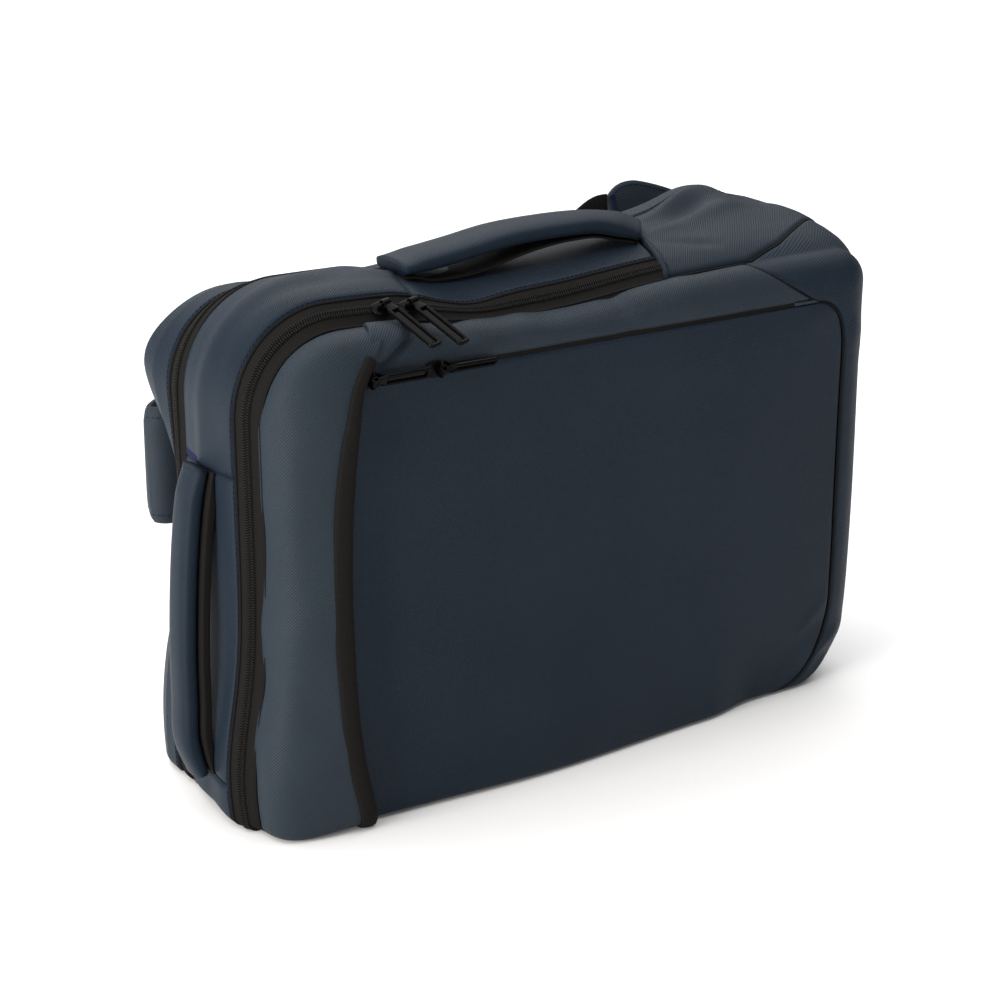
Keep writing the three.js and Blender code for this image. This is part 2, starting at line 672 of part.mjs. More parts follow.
function strapLine(points, mirrored, halfWidth) {
  if (mirrored) {
    return mirroredLine(points, halfWidth);
  }
  return points.map(({ x, y, z }) => new THREE.Vector3(x, y, z));
}

function addStrap(prefix, mirrored) {
  const upright = new THREE.Vector3(0, 0, 1);
  const pad = strapLine(STRAP_LINE, mirrored, STRAP.width / 2);
  const webbing = strapLine(WEBBING_LINE, mirrored, WEBBING.width / 2);
  const tab = strapLine(WING_TAB_LINE, mirrored, WING_TAB.rootWidth / 2);
  const taper = (share) => smooth((share - STRAP.taperFrom) / (1 - STRAP.taperFrom));
  add(`${prefix}_shoulder_strap`, sweep(pad, STRAP, upright, (share) => ({
    width: THREE.MathUtils.lerp(STRAP.width, STRAP.endWidth, taper(share)),
    thickness: STRAP.pad,
    square: SQUARE_ROUND,
    lift: 0,
  })), NAVY);
  add(`${prefix}_strap_webbing`, sweep(webbing, WEBBING, upright, () => ({
    width: WEBBING.width,
    thickness: WEBBING.thickness,
    square: SQUARE_FLAT,
    lift: 0,
  })), TAPE_BLACK);
  add(`${prefix}_wing_tab`, sweep(tab, WING_TAB, upright, (share) => ({
    width: THREE.MathUtils.lerp(WING_TAB.tipWidth, WING_TAB.rootWidth, share),
    thickness: WING_TAB.thickness,
    square: SQUARE_ROUND,
    lift: 0,
  })), NAVY);
  addBuckle(prefix, pad.at(-1), webbing[0]);
}

// A plain ladder buckle between the pad's end and the webbing
function addBuckle(prefix, padEnd, webbingStart) {
  const along = webbingStart.clone().sub(padEnd);
  const holder = new THREE.Group();
  holder.position.copy(padEnd).addScaledVector(along, 0.5);
  holder.quaternion.setFromUnitVectors(new THREE.Vector3(1, 0, 0), along.clone().normalize());
  bag.add(holder);
  const frame = new THREE.BoxGeometry(BUCKLE.length, BUCKLE.thickness, BUCKLE.width);
  add(`${prefix}_strap_buckle`, frame, PLASTIC_BLACK, holder);
}

// Zip sliders and pullers
function sliderGeometry(crownTurn) {
  const half = SLIDER.length / 2;
  const plateShape = new THREE.Shape([
    new THREE.Vector2(-half, -SLIDER.width / 2),
    new THREE.Vector2(SLIDER.noseFrom, -SLIDER.width / 2),
    new THREE.Vector2(half, -SLIDER.noseWidth / 2),
    new THREE.Vector2(half, SLIDER.noseWidth / 2),
    new THREE.Vector2(SLIDER.noseFrom, SLIDER.width / 2),
    new THREE.Vector2(-half, SLIDER.width / 2),
  ]);
  const plate = new THREE.ExtrudeGeometry(plateShape, { depth: SLIDER.plate, bevelEnabled: false });
  plate.translate(0, 0, SLIDER.lift);
  const postTop = CROWN.height + CROWN.radius;
  const postHeight = postTop - SLIDER.lift - SLIDER.plate / 2;
  const posts = [-1, 1].map((side) => {
    const post = new THREE.BoxGeometry(POST.length, POST.width, postHeight);
    post.translate((side * (POST.span - POST.length)) / 2, 0, postTop - postHeight / 2);
    return post.rotateZ(crownTurn);
  });
  const bar = new THREE.CylinderGeometry(CROWN.radius, CROWN.radius, POST.span - POST.length, CROWN.sides);
  bar.rotateZ(Math.PI / 2).translate(0, 0, CROWN.height).rotateZ(crownTurn);
  return joined(plate, ...posts, bar);
}

// A puller along +X from its barrel, which turns about Y: a bar with two rails and a groove
function pullerGeometry(length) {
  const ring = new THREE.Shape();
  ring.absarc(0, 0, BARREL.radius, 0, 2 * Math.PI);
  const bore = new THREE.Path();
  bore.absarc(0, 0, BARREL.bore, 0, 2 * Math.PI);
  ring.holes.push(bore);
  const options = { depth: BARREL.width, bevelEnabled: false, curveSegments: BARREL.sides };
  const barrel = new THREE.ExtrudeGeometry(ring, options);
  barrel.translate(0, 0, -BARREL.width / 2).rotateX(Math.PI / 2);
  const halfWidth = PULLER.width / 2;
  const halfThick = PULLER.thickness / 2;
  const neck = block(
    new THREE.Vector3((BARREL.radius + BARREL.bore) / 2, -BARREL.width / 2, -halfThick),
    new THREE.Vector3(PULLER.neckEnd, BARREL.width / 2, halfThick),
  );
  const bar = block(
    new THREE.Vector3(PULLER.neckEnd - PULLER.neckOverlap, -halfWidth, -halfThick),
    new THREE.Vector3(length, halfWidth, halfThick),
  );
  const groove = block(
    new THREE.Vector3(PULLER.neckEnd + PULLER.rail, PULLER.rail - halfWidth, halfThick - PULLER.groove),
    new THREE.Vector3(length - PULLER.rail, halfWidth - PULLER.rail, PULLER.thickness),
  );
  return without(joined(barrel, neck, bar), groove);
}

// The two pulls of the main zip stand side by side on the top, their bars over the front edge
function addMainPulls() {
  const [edge, middle, low] = FRONT_EDGE_SECTIONS;
  for (const [side, x] of Object.entries(MAIN_SLIDER_X)) {
    const onTape = ({ inset, y }, sunk) => settle(new THREE.Vector3(x, y, BAG_HEIGHT - inset - sunk));
    const fall = onTape(edge, 0).sub(onTape(low, 0));
    const tilt = Math.atan2(fall.z, fall.y);
    const holder = new THREE.Group();
    holder.position.copy(onTape(middle, TAPE_RECESS));
    holder.rotation.set(tilt, 0, MAIN_SLIDER_YAW, 'XYZ');
    bag.add(holder);
    add(`main_slider_${side}`, sliderGeometry(0), METAL_BLACK, holder);
    const puller = pullerGeometry(MAIN_PULLER_LENGTH);
    puller.rotateY(-MAIN_PULLER_LIFT).rotateZ(-Math.PI / 2).translate(0, 0, CROWN.height);
    add(`main_puller_${side}`, puller, METAL_BLACK, holder);
  }
}

// The two pulls of the pocket zip lie along it
function addPocketPulls() {
  const height = POCKET.top + (POCKET_ZIP.height + SEAM_GAP) / 2;
  for (const [side, x] of Object.entries(POCKET_SLIDER_X)) {
    const holder = new THREE.Group();
    holder.position.set(x, POCKET_SLIDER_Y, height);
    holder.rotation.set(Math.PI / 2, 0, 0);
    bag.add(holder);
    add(`pocket_slider_${side}`, sliderGeometry(Math.PI / 2), METAL_BLACK, holder);
    const puller = pullerGeometry(POCKET_PULLER_LENGTH).translate(0, 0, CROWN.height);
    add(`pocket_puller_${side}`, puller, METAL_BLACK, holder);
  }
}

// The rear zip's slider is nearly out of sight behind the top handle: one plain piece
function addRearSlider() {
  const plate = new THREE.BoxGeometry(REAR_SLIDER.length, REAR_SLIDER.width, REAR_SLIDER.height);
  const place = settle(new THREE.Vector3(REAR_SLIDER.x, REAR_SLIDER.y, BAG_HEIGHT));
  plate.translate(place.x, place.y, place.z + REAR_SLIDER.lift + REAR_SLIDER.height / 2);
  add('rear_zip_slider', plate, METAL_BLACK);
}

addFrontPanels();
addWalls();
addZipTapes();
addBackShell();
addHandle('top_handle', TOP_HANDLE, TOP_HANDLE_LINE);
addHandle('side_handle', SIDE_HANDLE, SIDE_HANDLE_LINE);
addStrap('upper', false);
addStrap('lower', true);
addMainPulls();
addPocketPulls();
addRearSlider();

export default bag;
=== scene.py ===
"""Looks of a navy convertible backpack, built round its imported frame.

Sizes are millimetres in the frame's own axes. A mesh is turned into metres as it is made.
"""
import math
from functools import partial

import bpy
import numpy as np
from mathutils import Matrix, Vector


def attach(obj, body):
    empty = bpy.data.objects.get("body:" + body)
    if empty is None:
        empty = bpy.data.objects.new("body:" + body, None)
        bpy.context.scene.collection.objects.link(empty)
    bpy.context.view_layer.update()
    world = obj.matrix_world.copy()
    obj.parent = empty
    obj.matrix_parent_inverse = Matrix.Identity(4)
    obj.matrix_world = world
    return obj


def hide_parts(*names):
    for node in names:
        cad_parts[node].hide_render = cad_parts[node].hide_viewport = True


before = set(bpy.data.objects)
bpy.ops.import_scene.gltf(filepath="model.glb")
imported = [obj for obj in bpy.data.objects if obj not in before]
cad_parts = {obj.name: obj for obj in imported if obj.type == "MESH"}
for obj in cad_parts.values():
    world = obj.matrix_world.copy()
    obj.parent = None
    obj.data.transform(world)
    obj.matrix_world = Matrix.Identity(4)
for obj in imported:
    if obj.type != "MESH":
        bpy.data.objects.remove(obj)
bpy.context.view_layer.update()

MM = 0.001
ALONG_Y = np.array([0.0, 1.0, 0.0])
ALONG_Z = np.array([0.0, 0.0, 1.0])

# Driving sizes of the body, as in the part's source apart from a rounder top right corner
LENGTH = 448.0
HEIGHT = 304.0
CORNER_RADII = {"bottom_right": 54.0, "top_right": 30.0, "top_left": 60.0, "bottom_left": 8.0}
LEAST_RADIUS = 6.0
BASE_SHARE = 0.03
BASE_FULL_INSET = 170.0
WALL_PROFILE = (  # y, inset, from the front edge to the back
    (-40.0, 9.5), (-32.5, 4.6), (-24.0, 1.0), (-10.0, -2.0), (8.0, -3.0), (24.0, -2.0),
    (37.0, 0.0), (57.0, 0.0),
)
FRONT_PROFILE = (  # inset, y
    (9.5, -40.0), (11.5, -48.0), (17.0, -54.6), (27.0, -58.8), (46.0, -60.5), (90.0, -62.0), (140.0, -63.0),
)
LEFT_PROFILE = (  # inset, y
    (9.5, -40.0), (10.8, -49.5), (15.5, -57.8), (25.0, -63.4), (38.0, -67.2), (52.0, -70.0),
    (66.0, -72.0), (140.0, -72.5),
)
BACK_PROFILE = (  # inset, y
    (0.0, 57.0), (0.01, 70.0), (3.0, 80.0), (11.0, 87.0), (26.0, 89.5), (80.0, 92.0), (140.0, 93.0),
)
RIM_INSET = 9.5
GUSSET_Y = (37.0, -24.0)
MAIN_ZIP_Y = (-24.0, -40.0)
REAR_ZIP_Y = (57.0, 37.0)

# Seams
BINDING = {"x": -161.0, "bow": 16.0, "low": 1.0, "high": 279.0}
BINDING_TURN = {"from_z": 266.0, "slope": 0.75, "ease": 10.0}
POCKET = {"top": 266.5, "right": 190.0}
POCKET_ROUND = {"top_x": 24.0, "top_z": 34.0, "low_x": 50.0, "low_z": 64.0}
POCKET_ZIP = {"height": 3.0, "right": 148.0}
PANEL_GAP = 0.4
SHOULDER_SEAM = {"high_x": 110.0, "high_z": 302.0, "low_x": 170.0}
WRAP_SEAM = {"back_x": 84.0, "front_x": 61.0}
CORNER_SEAM = {"back_x": -97.0, "front_x": -108.0}
SIDE_SEAM = {"high_z": 212.0, "low_z": 27.0}
LOWER_WRAP_X = 70.0
SIDE_PANEL_SEAM = {"x": (126.0, 158.0, 208.0), "y": (-40.0, -30.0, -2.0)}  # in the plan

# Mesh fineness
ARC_STEPS = 24
SIDE_STEPS = (60, 110, 70, 110)  # right, top, left, base
FINE = 500
CELL = 2.6
SKIN = 2.0
SPLINE_STEPS = 24
BISECTIONS = 32
INSET_RANGE = (-6.0, 149.0)


# Small shared maths
def smooth(t):
    t = np.clip(t, 0.0, 1.0)
    return t * t * (3.0 - 2.0 * t)


def bell(t):
    return np.exp(-t * t)


def lerp(a, b, t):
    return a + (b - a) * t


def unit(v):
    return v / np.maximum(np.linalg.norm(v, axis=-1, keepdims=True), 1e-12)


def through(table, x):
    """A monotone cubic curve through a table's two columns, carried on straight past its ends."""
    xs, ys = np.array(table, float).T
    h = np.diff(xs)
    slope = np.diff(ys) / h
    m = np.empty_like(xs)
    m[0], m[-1] = slope[0], slope[-1]
    same = slope[:-1] * slope[1:] > 0
    w1, w2 = 2 * h[1:] + h[:-1], h[1:] + 2 * h[:-1]
    with np.errstate(divide="ignore", invalid="ignore"):
        m[1:-1] = np.where(same, (w1 + w2) / (w1 / slope[:-1] + w2 / slope[1:]), 0.0)
    x = np.asarray(x, float)
    k = np.clip(np.searchsorted(xs, x) - 1, 0, len(h) - 1)
    t = np.clip((x - xs[k]) / h[k], 0.0, 1.0)
    inside = (
        ys[k] * (1 + 2 * t) * (1 - t) ** 2
        + ys[k + 1] * t * t * (3 - 2 * t)
        + h[k] * (m[k] * t * (1 - t) ** 2 - m[k + 1] * t * t * (1 - t))
    )
    return inside + m[0] * np.minimum(x - xs[0], 0.0) + m[-1] * np.maximum(x - xs[-1], 0.0)


def path_lengths(points):
    steps = np.linalg.norm(np.diff(points, axis=0), axis=-1)
    return np.concatenate([[0.0], np.cumsum(steps)])


def resample_like(line, values, shares):
    """Values given along a line, at these shares of its length."""
    lengths = path_lengths(line)
    at = np.asarray(shares) * lengths[-1]
    return np.stack([np.interp(at, lengths, values[:, k]) for k in range(values.shape[1])], -1)


def resample(points, shares):
    """The points at these shares of a line's length."""
    return resample_like(points, points, shares)


def spline(points, count):
    """Evenly spaced points on a centripetal Catmull-Rom curve through the given ones."""
    p = np.array(points, float)
    p = np.concatenate([[2 * p[0] - p[1]], p, [2 * p[-1] - p[-2]]])
    knots = np.concatenate([[0.0], np.cumsum(np.sqrt(np.linalg.norm(np.diff(p, axis=0), axis=1)))])
    pieces = []
    for i in range(1, len(p) - 2):
        t = np.linspace(knots[i], knots[i + 1], SPLINE_STEPS)[:, None]

        def mix(a, b, ta, tb):
            return (a * (tb - t) + b * (t - ta)) / (tb - ta)

        k = knots[i - 1:i + 3]
        a1, a2, a3 = (mix(p[i - 1 + j], p[i + j], k[j], k[j + 1]) for j in range(3))
        b1, b2 = mix(a1, a2, k[0], k[2]), mix(a2, a3, k[1], k[3])
        pieces.append(mix(b1, b2, k[1], k[2]))
    return resample(np.concatenate(pieces), np.linspace(0, 1, count))


# The body's form
def fall(t):
    return 1 - smooth(t)


def half_fall(t):
    return 1 - smooth(t) / 2


X, Y, Z = range(3)
UPPER, TOP = (smooth, Z, 200.0, HEIGHT - 200.0), (smooth, Z, 272.0, HEIGHT - 272.0)
LEFT_END = (smooth, X, -140.0, -84.0)
BEFORE_RIM = (smooth, Y, -40.0, -16.0)
# How the soft body settles, as in the part's source apart from the dip and the puff's place
SETTLING = {  # move in x, y and z, then each factor's shape, axis, place and reach
    "sag": ((0, 0, -7.5), (bell, X, -30.0, 72.0), TOP, (fall, Y, -24.0, 90.0)),
    "drop": ((0, 0, -4.0), (bell, X, -45.0, 90.0), TOP, (smooth, Y, -24.0, -16.0)),
    "dip": ((0, 0, -6.0), (bell, X, -70.0, 25.0), TOP, (bell, Y, -18.0, 17.0)),
    "crest": ((0, 0, 4.5), (smooth, X, -88.0, -34.0), UPPER, (fall, Y, 37.0, 20.0), (smooth, Y, -44.0, 36.0)),
    "slump": ((0, 0, -8.5), (bell, X, -110.0, 75.0), UPPER, (smooth, Y, 37.0, 20.0)),
    "peak": ((0, 0, 6.0), (smooth, X, 60.0, 90.0), UPPER, (smooth, Y, -20.0, 60.0)),
    "point": ((0, 0, 13.0), (bell, X, 160.0, 28.0), UPPER, (bell, Y, 57.0, 28.0)),
    "bulge": ((-12.0, 0, 0), LEFT_END, (half_fall, Y, -24.0, 34.0), (bell, Z, 30.0, 60.0)),
    "dent": ((10.0, -25.0, 0), LEFT_END, (smooth, Y, 45.0, 42.0), (bell, Z, 165.0, 55.0)),
    "puff": ((-4.0, 12.0, 5.0), LEFT_END, (smooth, Y, 57.0, 28.0), (bell, Z, 248.0, 34.0)),
    "belly": ((0, -8.0, 0), (bell, X, -50.0, 90.0), BEFORE_RIM, (bell, Z, 15.0, 70.0)),
    "tuck": ((0, 8.0, 0), (smooth, X, 90.0, 45.0), BEFORE_RIM, (bell, Z, 0.0, 45.0)),
}


def settle(p):
    """Moves points of the plain form to where they lie on the soft bag."""
    total = np.zeros(p.shape)
    for move, *factors in SETTLING.values():
        shares = [shape((p[..., axis] - place) / reach) for shape, axis, place, reach in factors]
        total += np.prod(shares, axis=0)[..., None] * np.array(move)
    return p + total


def base_height(inset):
    share = BASE_SHARE + (1 - BASE_SHARE) * smooth(inset / BASE_FULL_INSET)
    return np.maximum(0.0, inset * share)


def wall_inset(y):
    return float(through(WALL_PROFILE, y))


def ring_line(inset):
    """The outline at an inset, anticlockwise in the front view from the base's right end."""
    right, top, low = LENGTH / 2 - inset, HEIGHT - inset, float(base_height(inset))
    corners = (
        (1, low, 1, "bottom_right", -90), (1, top, -1, "top_right", 0),
        (-1, top, -1, "top_left", 90), (-1, low, 1, "bottom_left", 180),
    )
    arcs = []
    for side, z, inward, name, turn in corners:
        radius = max(CORNER_RADII[name] - inset, LEAST_RADIUS)
        angle = np.radians(turn + np.linspace(0, 90, ARC_STEPS + 1))
        centre = np.array([side * (right - radius), z + inward * radius])
        arcs.append(centre + radius * np.stack([np.cos(angle), np.sin(angle)], -1))
    line = []
    for k, arc in enumerate(arcs):
        t = np.linspace(0, 1, SIDE_STEPS[k] + 1)[1:-1, None]
        line += [arc, arc[-1] * (1 - t) + arcs[(k + 1) % 4][0] * t]
    return np.concatenate(line)


RIGHT_FROM = ARC_STEPS
TOP_FROM = RIGHT_FROM + SIDE_STEPS[0] + ARC_STEPS
LEFT_FROM = TOP_FROM + SIDE_STEPS[1] + ARC_STEPS
BASE_FROM = LEFT_FROM + SIDE_STEPS[2] + ARC_STEPS
RING = BASE_FROM + SIDE_STEPS[3]


def ring_at(inset, index):
    line = ring_line(inset)
    index = np.mod(index, RING)
    k = np.floor(index).astype(int) % RING
    f = (index - np.floor(index))[:, None]
    return line[k] * (1 - f) + line[(k + 1) % RING] * f


RING_INSETS = np.linspace(-4.0, 30.0, 69)
RING_LINES = np.array([ring_line(inset) for inset in RING_INSETS])


def wall_points(ys, index):
    """Points on the bag's side at these depths and places round the outline."""
    row = np.interp(through(WALL_PROFILE, ys), RING_INSETS, np.arange(len(RING_INSETS)))
    index = np.mod(index, RING)
    r, c = np.floor(row).astype(int), np.floor(index).astype(int)
    r = np.minimum(r, len(RING_INSETS) - 2)
    f, g = (row - r)[..., None], (index - c)[..., None]
    near = RING_LINES[r, c % RING] * (1 - g) + RING_LINES[r, (c + 1) % RING] * g
    far = RING_LINES[r + 1, c % RING] * (1 - g) + RING_LINES[r + 1, (c + 1) % RING] * g
    flat = near * (1 - f) + far * f
    return settle(np.stack([flat[..., 0], ys, flat[..., 1]], -1))


def side_index(place, inset, side_from, steps, axis):
    """Where on the outline at an inset a straight side reaches a place, given along one axis."""
    line = ring_line(inset)
    first, last = line[side_from, axis], line[(side_from + steps) % RING, axis]
    return side_from + steps * (place - first) / (last - first)


def top_index(x, inset):
    return side_index(x, inset, TOP_FROM, SIDE_STEPS[1], 0)


def left_index(z, inset):
    return side_index(z, inset, LEFT_FROM, SIDE_STEPS[2], 1)


def base_index(x, inset):
    return side_index(x, inset, BASE_FROM, SIDE_STEPS[3], 0)


def inset_at(x, z):
    """How far inside the full outline a point of the front view lies."""
    low, high = (np.full(np.shape(x), end) for end in INSET_RANGE)
    for _ in range(BISECTIONS):
        inset = (low + high) / 2
        top, base = HEIGHT - inset, base_height(inset)
        above = z > (top + base) / 2
        radius = np.where(
            x > 0,
            np.where(above, CORNER_RADII["top_right"], CORNER_RADII["bottom_right"]),
            np.where(above, CORNER_RADII["top_left"], CORNER_RADII["bottom_left"]),
        )
        radius = np.maximum(radius - inset, LEAST_RADIUS)
        qx = np.abs(x) - (LENGTH / 2 - inset) + radius
        qz = np.abs(z - (top + base) / 2) - (top - base) / 2 + radius
        beyond = np.hypot(np.maximum(qx, 0), np.maximum(qz, 0))
        outside = np.minimum(np.maximum(qx, qz), 0) + beyond - radius
        low, high = np.where(outside > 0, low, inset), np.where(outside > 0, inset, high)
    return (low + high) / 2


def face_point(x, z, profile):
    return settle(np.stack([x, through(profile, inset_at(x, z)), z], -1))


# Grids of points: columns run along, rows run across, and columns x rows point outwards
def grid_normals(grid):
    return unit(np.cross(np.gradient(grid, axis=1), np.gradient(grid, axis=0)))


def edge_distances(grid):
    """Distances along the surface to the first and last column and to the first and last row."""
    columns = np.cumsum(np.linalg.norm(np.diff(grid, axis=1, prepend=grid[:, :1]), axis=-1), axis=1)
    rows = np.cumsum(np.linalg.norm(np.diff(grid, axis=0, prepend=grid[:1]), axis=-1), axis=0)
    return columns, columns[:, -1:] - columns, rows, rows[-1:] - rows


def roll(distance, depth, width):
    """The drop of a turned edge: it rounds over into the seam."""
    t = np.clip(1 - distance / width, 0.0, 1.0)
    return -depth * (1 - np.sqrt(1 - t * t))


def at_depth(flat, y):
    """Points of the front view at one depth, on the settled body."""
    return settle(np.stack([flat[:, 0], np.full(len(flat), y), flat[:, 1]], -1))


def ring_patch(ys, start, stop, cell=CELL):
    """A stretch of the bag's side between two cross seams, from the back to the front."""
    rows = []
    for y in ys:
        inset = wall_inset(y)
        rows.append(at_depth(ring_at(inset, np.linspace(start(y, inset), stop(y, inset), FINE)), y))
    columns = max(8, int(path_lengths(rows[len(rows) // 2])[-1] / cell))
    shares = np.linspace(0, 1, columns + 1)
    return np.array([resample(row, shares) for row in rows])


def even_steps(start, end, profile, cell=CELL):
    """Shares of a straight line in the front view that are evenly spaced on the surface above it."""
    t = np.linspace(0, 1, FINE)[:, None]
    flat = np.array(start) * (1 - t) + np.array(end) * t
    lengths = path_lengths(face_point(flat[:, 0], flat[:, 1], profile))
    count = max(4, int(lengths[-1] / cell))
    return np.interp(np.linspace(0, lengths[-1], count + 1), lengths, t[:, 0])


def coons(lines, along, up):
    """A patch in the front view inside four lines, of which low and high run along, left and right up."""
    low, high = (resample(line, along) for line in lines[:2])
    left, right = (resample(line, up) for line in lines[2:])
    s = np.linspace(0, 1, len(low))[None, :, None]
    t = np.linspace(0, 1, len(left))[:, None, None]
    ruled = low[None] * (1 - t) + high[None] * t + left[:, None] * (1 - s) + right[:, None] * s
    corners = (low[0] * (1 - s) + low[-1] * s) * (1 - t) + (high[0] * (1 - s) + high[-1] * s) * t
    return ruled - corners


def lift_face(flat, profile):
    x, z = flat[..., 0], flat[..., 1]
    step = 0.05
    by_x = face_point(x + step, z, profile) - face_point(x - step, z, profile)
    by_z = face_point(x, z + step, profile) - face_point(x, z - step, profile)
    return face_point(x, z, profile), unit(np.cross(by_x, by_z))


def binding_x(z):
    """The binding's line bows to the left, and near its top it turns to the right."""
    past = z - BINDING_TURN["from_z"]
    turn = BINDING_TURN["slope"] * (past + np.hypot(past, BINDING_TURN["ease"])) / 2
    return BINDING["x"] - BINDING["bow"] * (1 - (2 * z / HEIGHT - 1) ** 2) + turn


def binding_line(low_z, high_z, offset=0.0):
    z = np.linspace(low_z, high_z, FINE)
    return np.stack([binding_x(z) + offset, z], -1)


def straight(a, b):
    t = np.linspace(0, 1, FINE)[:, None]
    return np.array(a, float) * (1 - t) + np.array(b, float) * t


def quadratic(a, control, b):
    t = np.linspace(0, 1, FINE)[:, None]
    return np.array(a) * (1 - t) ** 2 + 2 * np.array(control) * t * (1 - t) + np.array(b) * t * t


# Meshes
def make_object(name, points, faces, material, uv=None):
    """points are in millimetres; faces is a list of arrays, each with one row of corners per face."""
    mesh = bpy.data.meshes.new(name)
    corners = np.concatenate([np.asarray(f).ravel() for f in faces]).astype(np.int32)
    sizes = np.concatenate([np.full(len(f), np.asarray(f).shape[1]) for f in faces]).astype(np.int32)
    mesh.vertices.add(len(points))
    mesh.vertices.foreach_set("co", (np.asarray(points, float) * MM).astype(np.float32).ravel())
    mesh.loops.add(len(corners))
    mesh.loops.foreach_set("vertex_index", corners)
    mesh.polygons.add(len(sizes))
    mesh.polygons.foreach_set("loop_start", (np.cumsum(sizes) - sizes).astype(np.int32))
    mesh.polygons.foreach_set("use_smooth", np.ones(len(sizes), bool))
    if uv is not None:
        layer = mesh.uv_layers.new(name="cloth")
        layer.data.foreach_set("uv", (np.asarray(uv, float) * MM).astype(np.float32)[corners].ravel())
    mesh.update(calc_edges=True)
    mesh.validate()
    mesh.materials.append(material)
    piece = bpy.data.objects.new(name, mesh)
    bpy.context.scene.collection.objects.link(piece)
    return piece


def grid_faces(rows, columns, start=0, flip=False):
    r, c = np.meshgrid(np.arange(rows - 1), np.arange(columns - 1), indexing="ij")
    a = (start + r * columns + c).ravel()
    order = (a, a + columns, a + columns + 1, a + 1) if flip else (a, a + 1, a + columns + 1, a + columns)
    return np.stack(order, -1)


def shell(outer, normals, thickness=SKIN, uv=None):
    """A closed sheet of even thickness under a grid: its points, faces and cloth coordinates."""
    rows, columns = outer.shape[:2]
    inner = outer - normals * thickness
    layer = rows * columns
    index = np.arange(layer).reshape(rows, columns)
    ring = np.concatenate([index[0, :-1], index[:-1, -1], index[-1, :0:-1], index[:0:-1, 0]])
    after = np.roll(ring, -1)
    rim = np.stack([after, ring, ring + layer, after + layer], -1)
    faces = [grid_faces(rows, columns), grid_faces(rows, columns, layer, flip=True), rim]
    if uv is None:
        distances = edge_distances(outer)
        uv = np.stack([distances[0], distances[2]], -1)
    uv = uv.reshape(-1, 2)
    return np.concatenate([outer.reshape(-1, 3), inner.reshape(-1, 3)]), faces, np.concatenate([uv, uv])


def joined(*parts):
    """Several (points, faces, uv) as one."""
    points, faces, uvs, start = [], [], [], 0
    for p, f, uv in parts:
        points.append(p)
        faces += [np.asarray(g) + start for g in f]
        uvs.append(uv)
        start += len(p)
    return np.concatenate(points), faces, np.concatenate(uvs)


def add_piece(name, made, material, body="bag", own_node=True):
    """Adds a piece. It takes the place of the node of its own name, unless it is extra detail."""
    points = np.maximum(made[0], (-np.inf, -np.inf, 0.0))  # the floor flattens what would press into it
    piece = make_object(name, points, made[1], material, made[2])
    replaces = [name] if own_node else []
    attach(piece, body)
    if replaces:
        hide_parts(*replaces)


def add_cloth(name, made, material):
    add_piece(name, made, material)


def frames_along(line, across_hint):
    """Across and up directions at each point of a line."""
    along = unit(np.gradient(line, axis=0))
    up = unit(np.cross(along, across_hint))
    return unit(np.cross(up, along)), up


def tube_faces(steps, sides):
    """The walls and the two end caps of a tube, whose points come ring after ring."""
    index = np.arange(steps * sides).reshape(steps, sides)
    following = np.roll(index, -1, axis=1)
    walls = np.stack([index[:-1], following[:-1], following[1:], index[1:]], -1).reshape(-1, 4)
    return [walls, index[:1, ::-1], index[-1:]]


def sweep(line, across_hint, sections):
    """A closed tube: sections[k] holds (across, up) points at line[k], and its ends are capped."""
    across, up = frames_along(line, across_hint)
    rings = line[:, None] + sections[..., :1] * across[:, None] + sections[..., 1:] * up[:, None]
    girth = np.linalg.norm(np.diff(sections, axis=1, append=sections[:, :1]), axis=-1)
    round_way = np.cumsum(girth, axis=1) - girth
    uv = np.stack([np.broadcast_to(path_lengths(line)[:, None], round_way.shape), round_way], -1)
    return rings.reshape(-1, 3), tube_faces(*sections.shape[:2]), uv.reshape(-1, 2)


def rounded_sections(count, widths, heights, sides, square):
    """Rounded rectangles: square is 1 for an ellipse and less for squarer ones."""
    angle = 2 * np.pi * (np.arange(sides) + 0.5) / sides
    cos, sin = np.cos(angle), np.sin(angle)
    across = np.sign(cos) * np.abs(cos) ** square / 2
    up = np.sign(sin) * np.abs(sin) ** square / 2
    widths, heights = np.broadcast_to(widths, count), np.broadcast_to(heights, count)
    return np.stack([np.outer(widths, across), np.outer(heights, up)], -1)


# Rows of small things: stitches and zip teeth
CAPSULE_SIDES = 6
CAPSULE_ENDS = ((-0.5, 0.45), (-0.36, 0.9), (0.0, 1.0), (0.36, 0.9), (0.5, 0.45))  # share of length, fullness


def capsule(length, width, height):
    """A small bar along X with tapered ends."""
    angle = 2 * np.pi * np.arange(CAPSULE_SIDES) / CAPSULE_SIDES
    ring = np.stack([np.cos(angle) * width / 2, np.sin(angle) * height / 2], -1)
    points = [np.column_stack([np.full(CAPSULE_SIDES, x * length), ring * r]) for x, r in CAPSULE_ENDS]
    return np.concatenate(points), tube_faces(len(CAPSULE_ENDS), CAPSULE_SIDES)


def scatter(template, origins, along, up):
    """One mesh with the template set at each origin, its X along and its Z up."""
    points, faces = template
    side = unit(np.cross(up, along))
    axes = np.stack([along, side, unit(np.cross(along, side))], 1)
    placed = origins[:, None] + np.einsum("pk,nkd->npd", points, axes)
    shift = (np.arange(len(origins)) * len(points))[:, None, None]
    spread = [(np.asarray(f)[None] + shift).reshape(-1, np.asarray(f).shape[1]) for f in faces]
    return placed.reshape(-1, 3), spread, np.zeros((len(origins) * len(points), 2))


def places_along(line, normals, shares, step):
    """Places at these shares of a line, with the directions along it and up from its surface."""
    up = unit(resample_like(line, normals, shares))
    along = unit(resample(line, shares + step) - resample(line, shares - step))
    return resample(line, shares), along, up


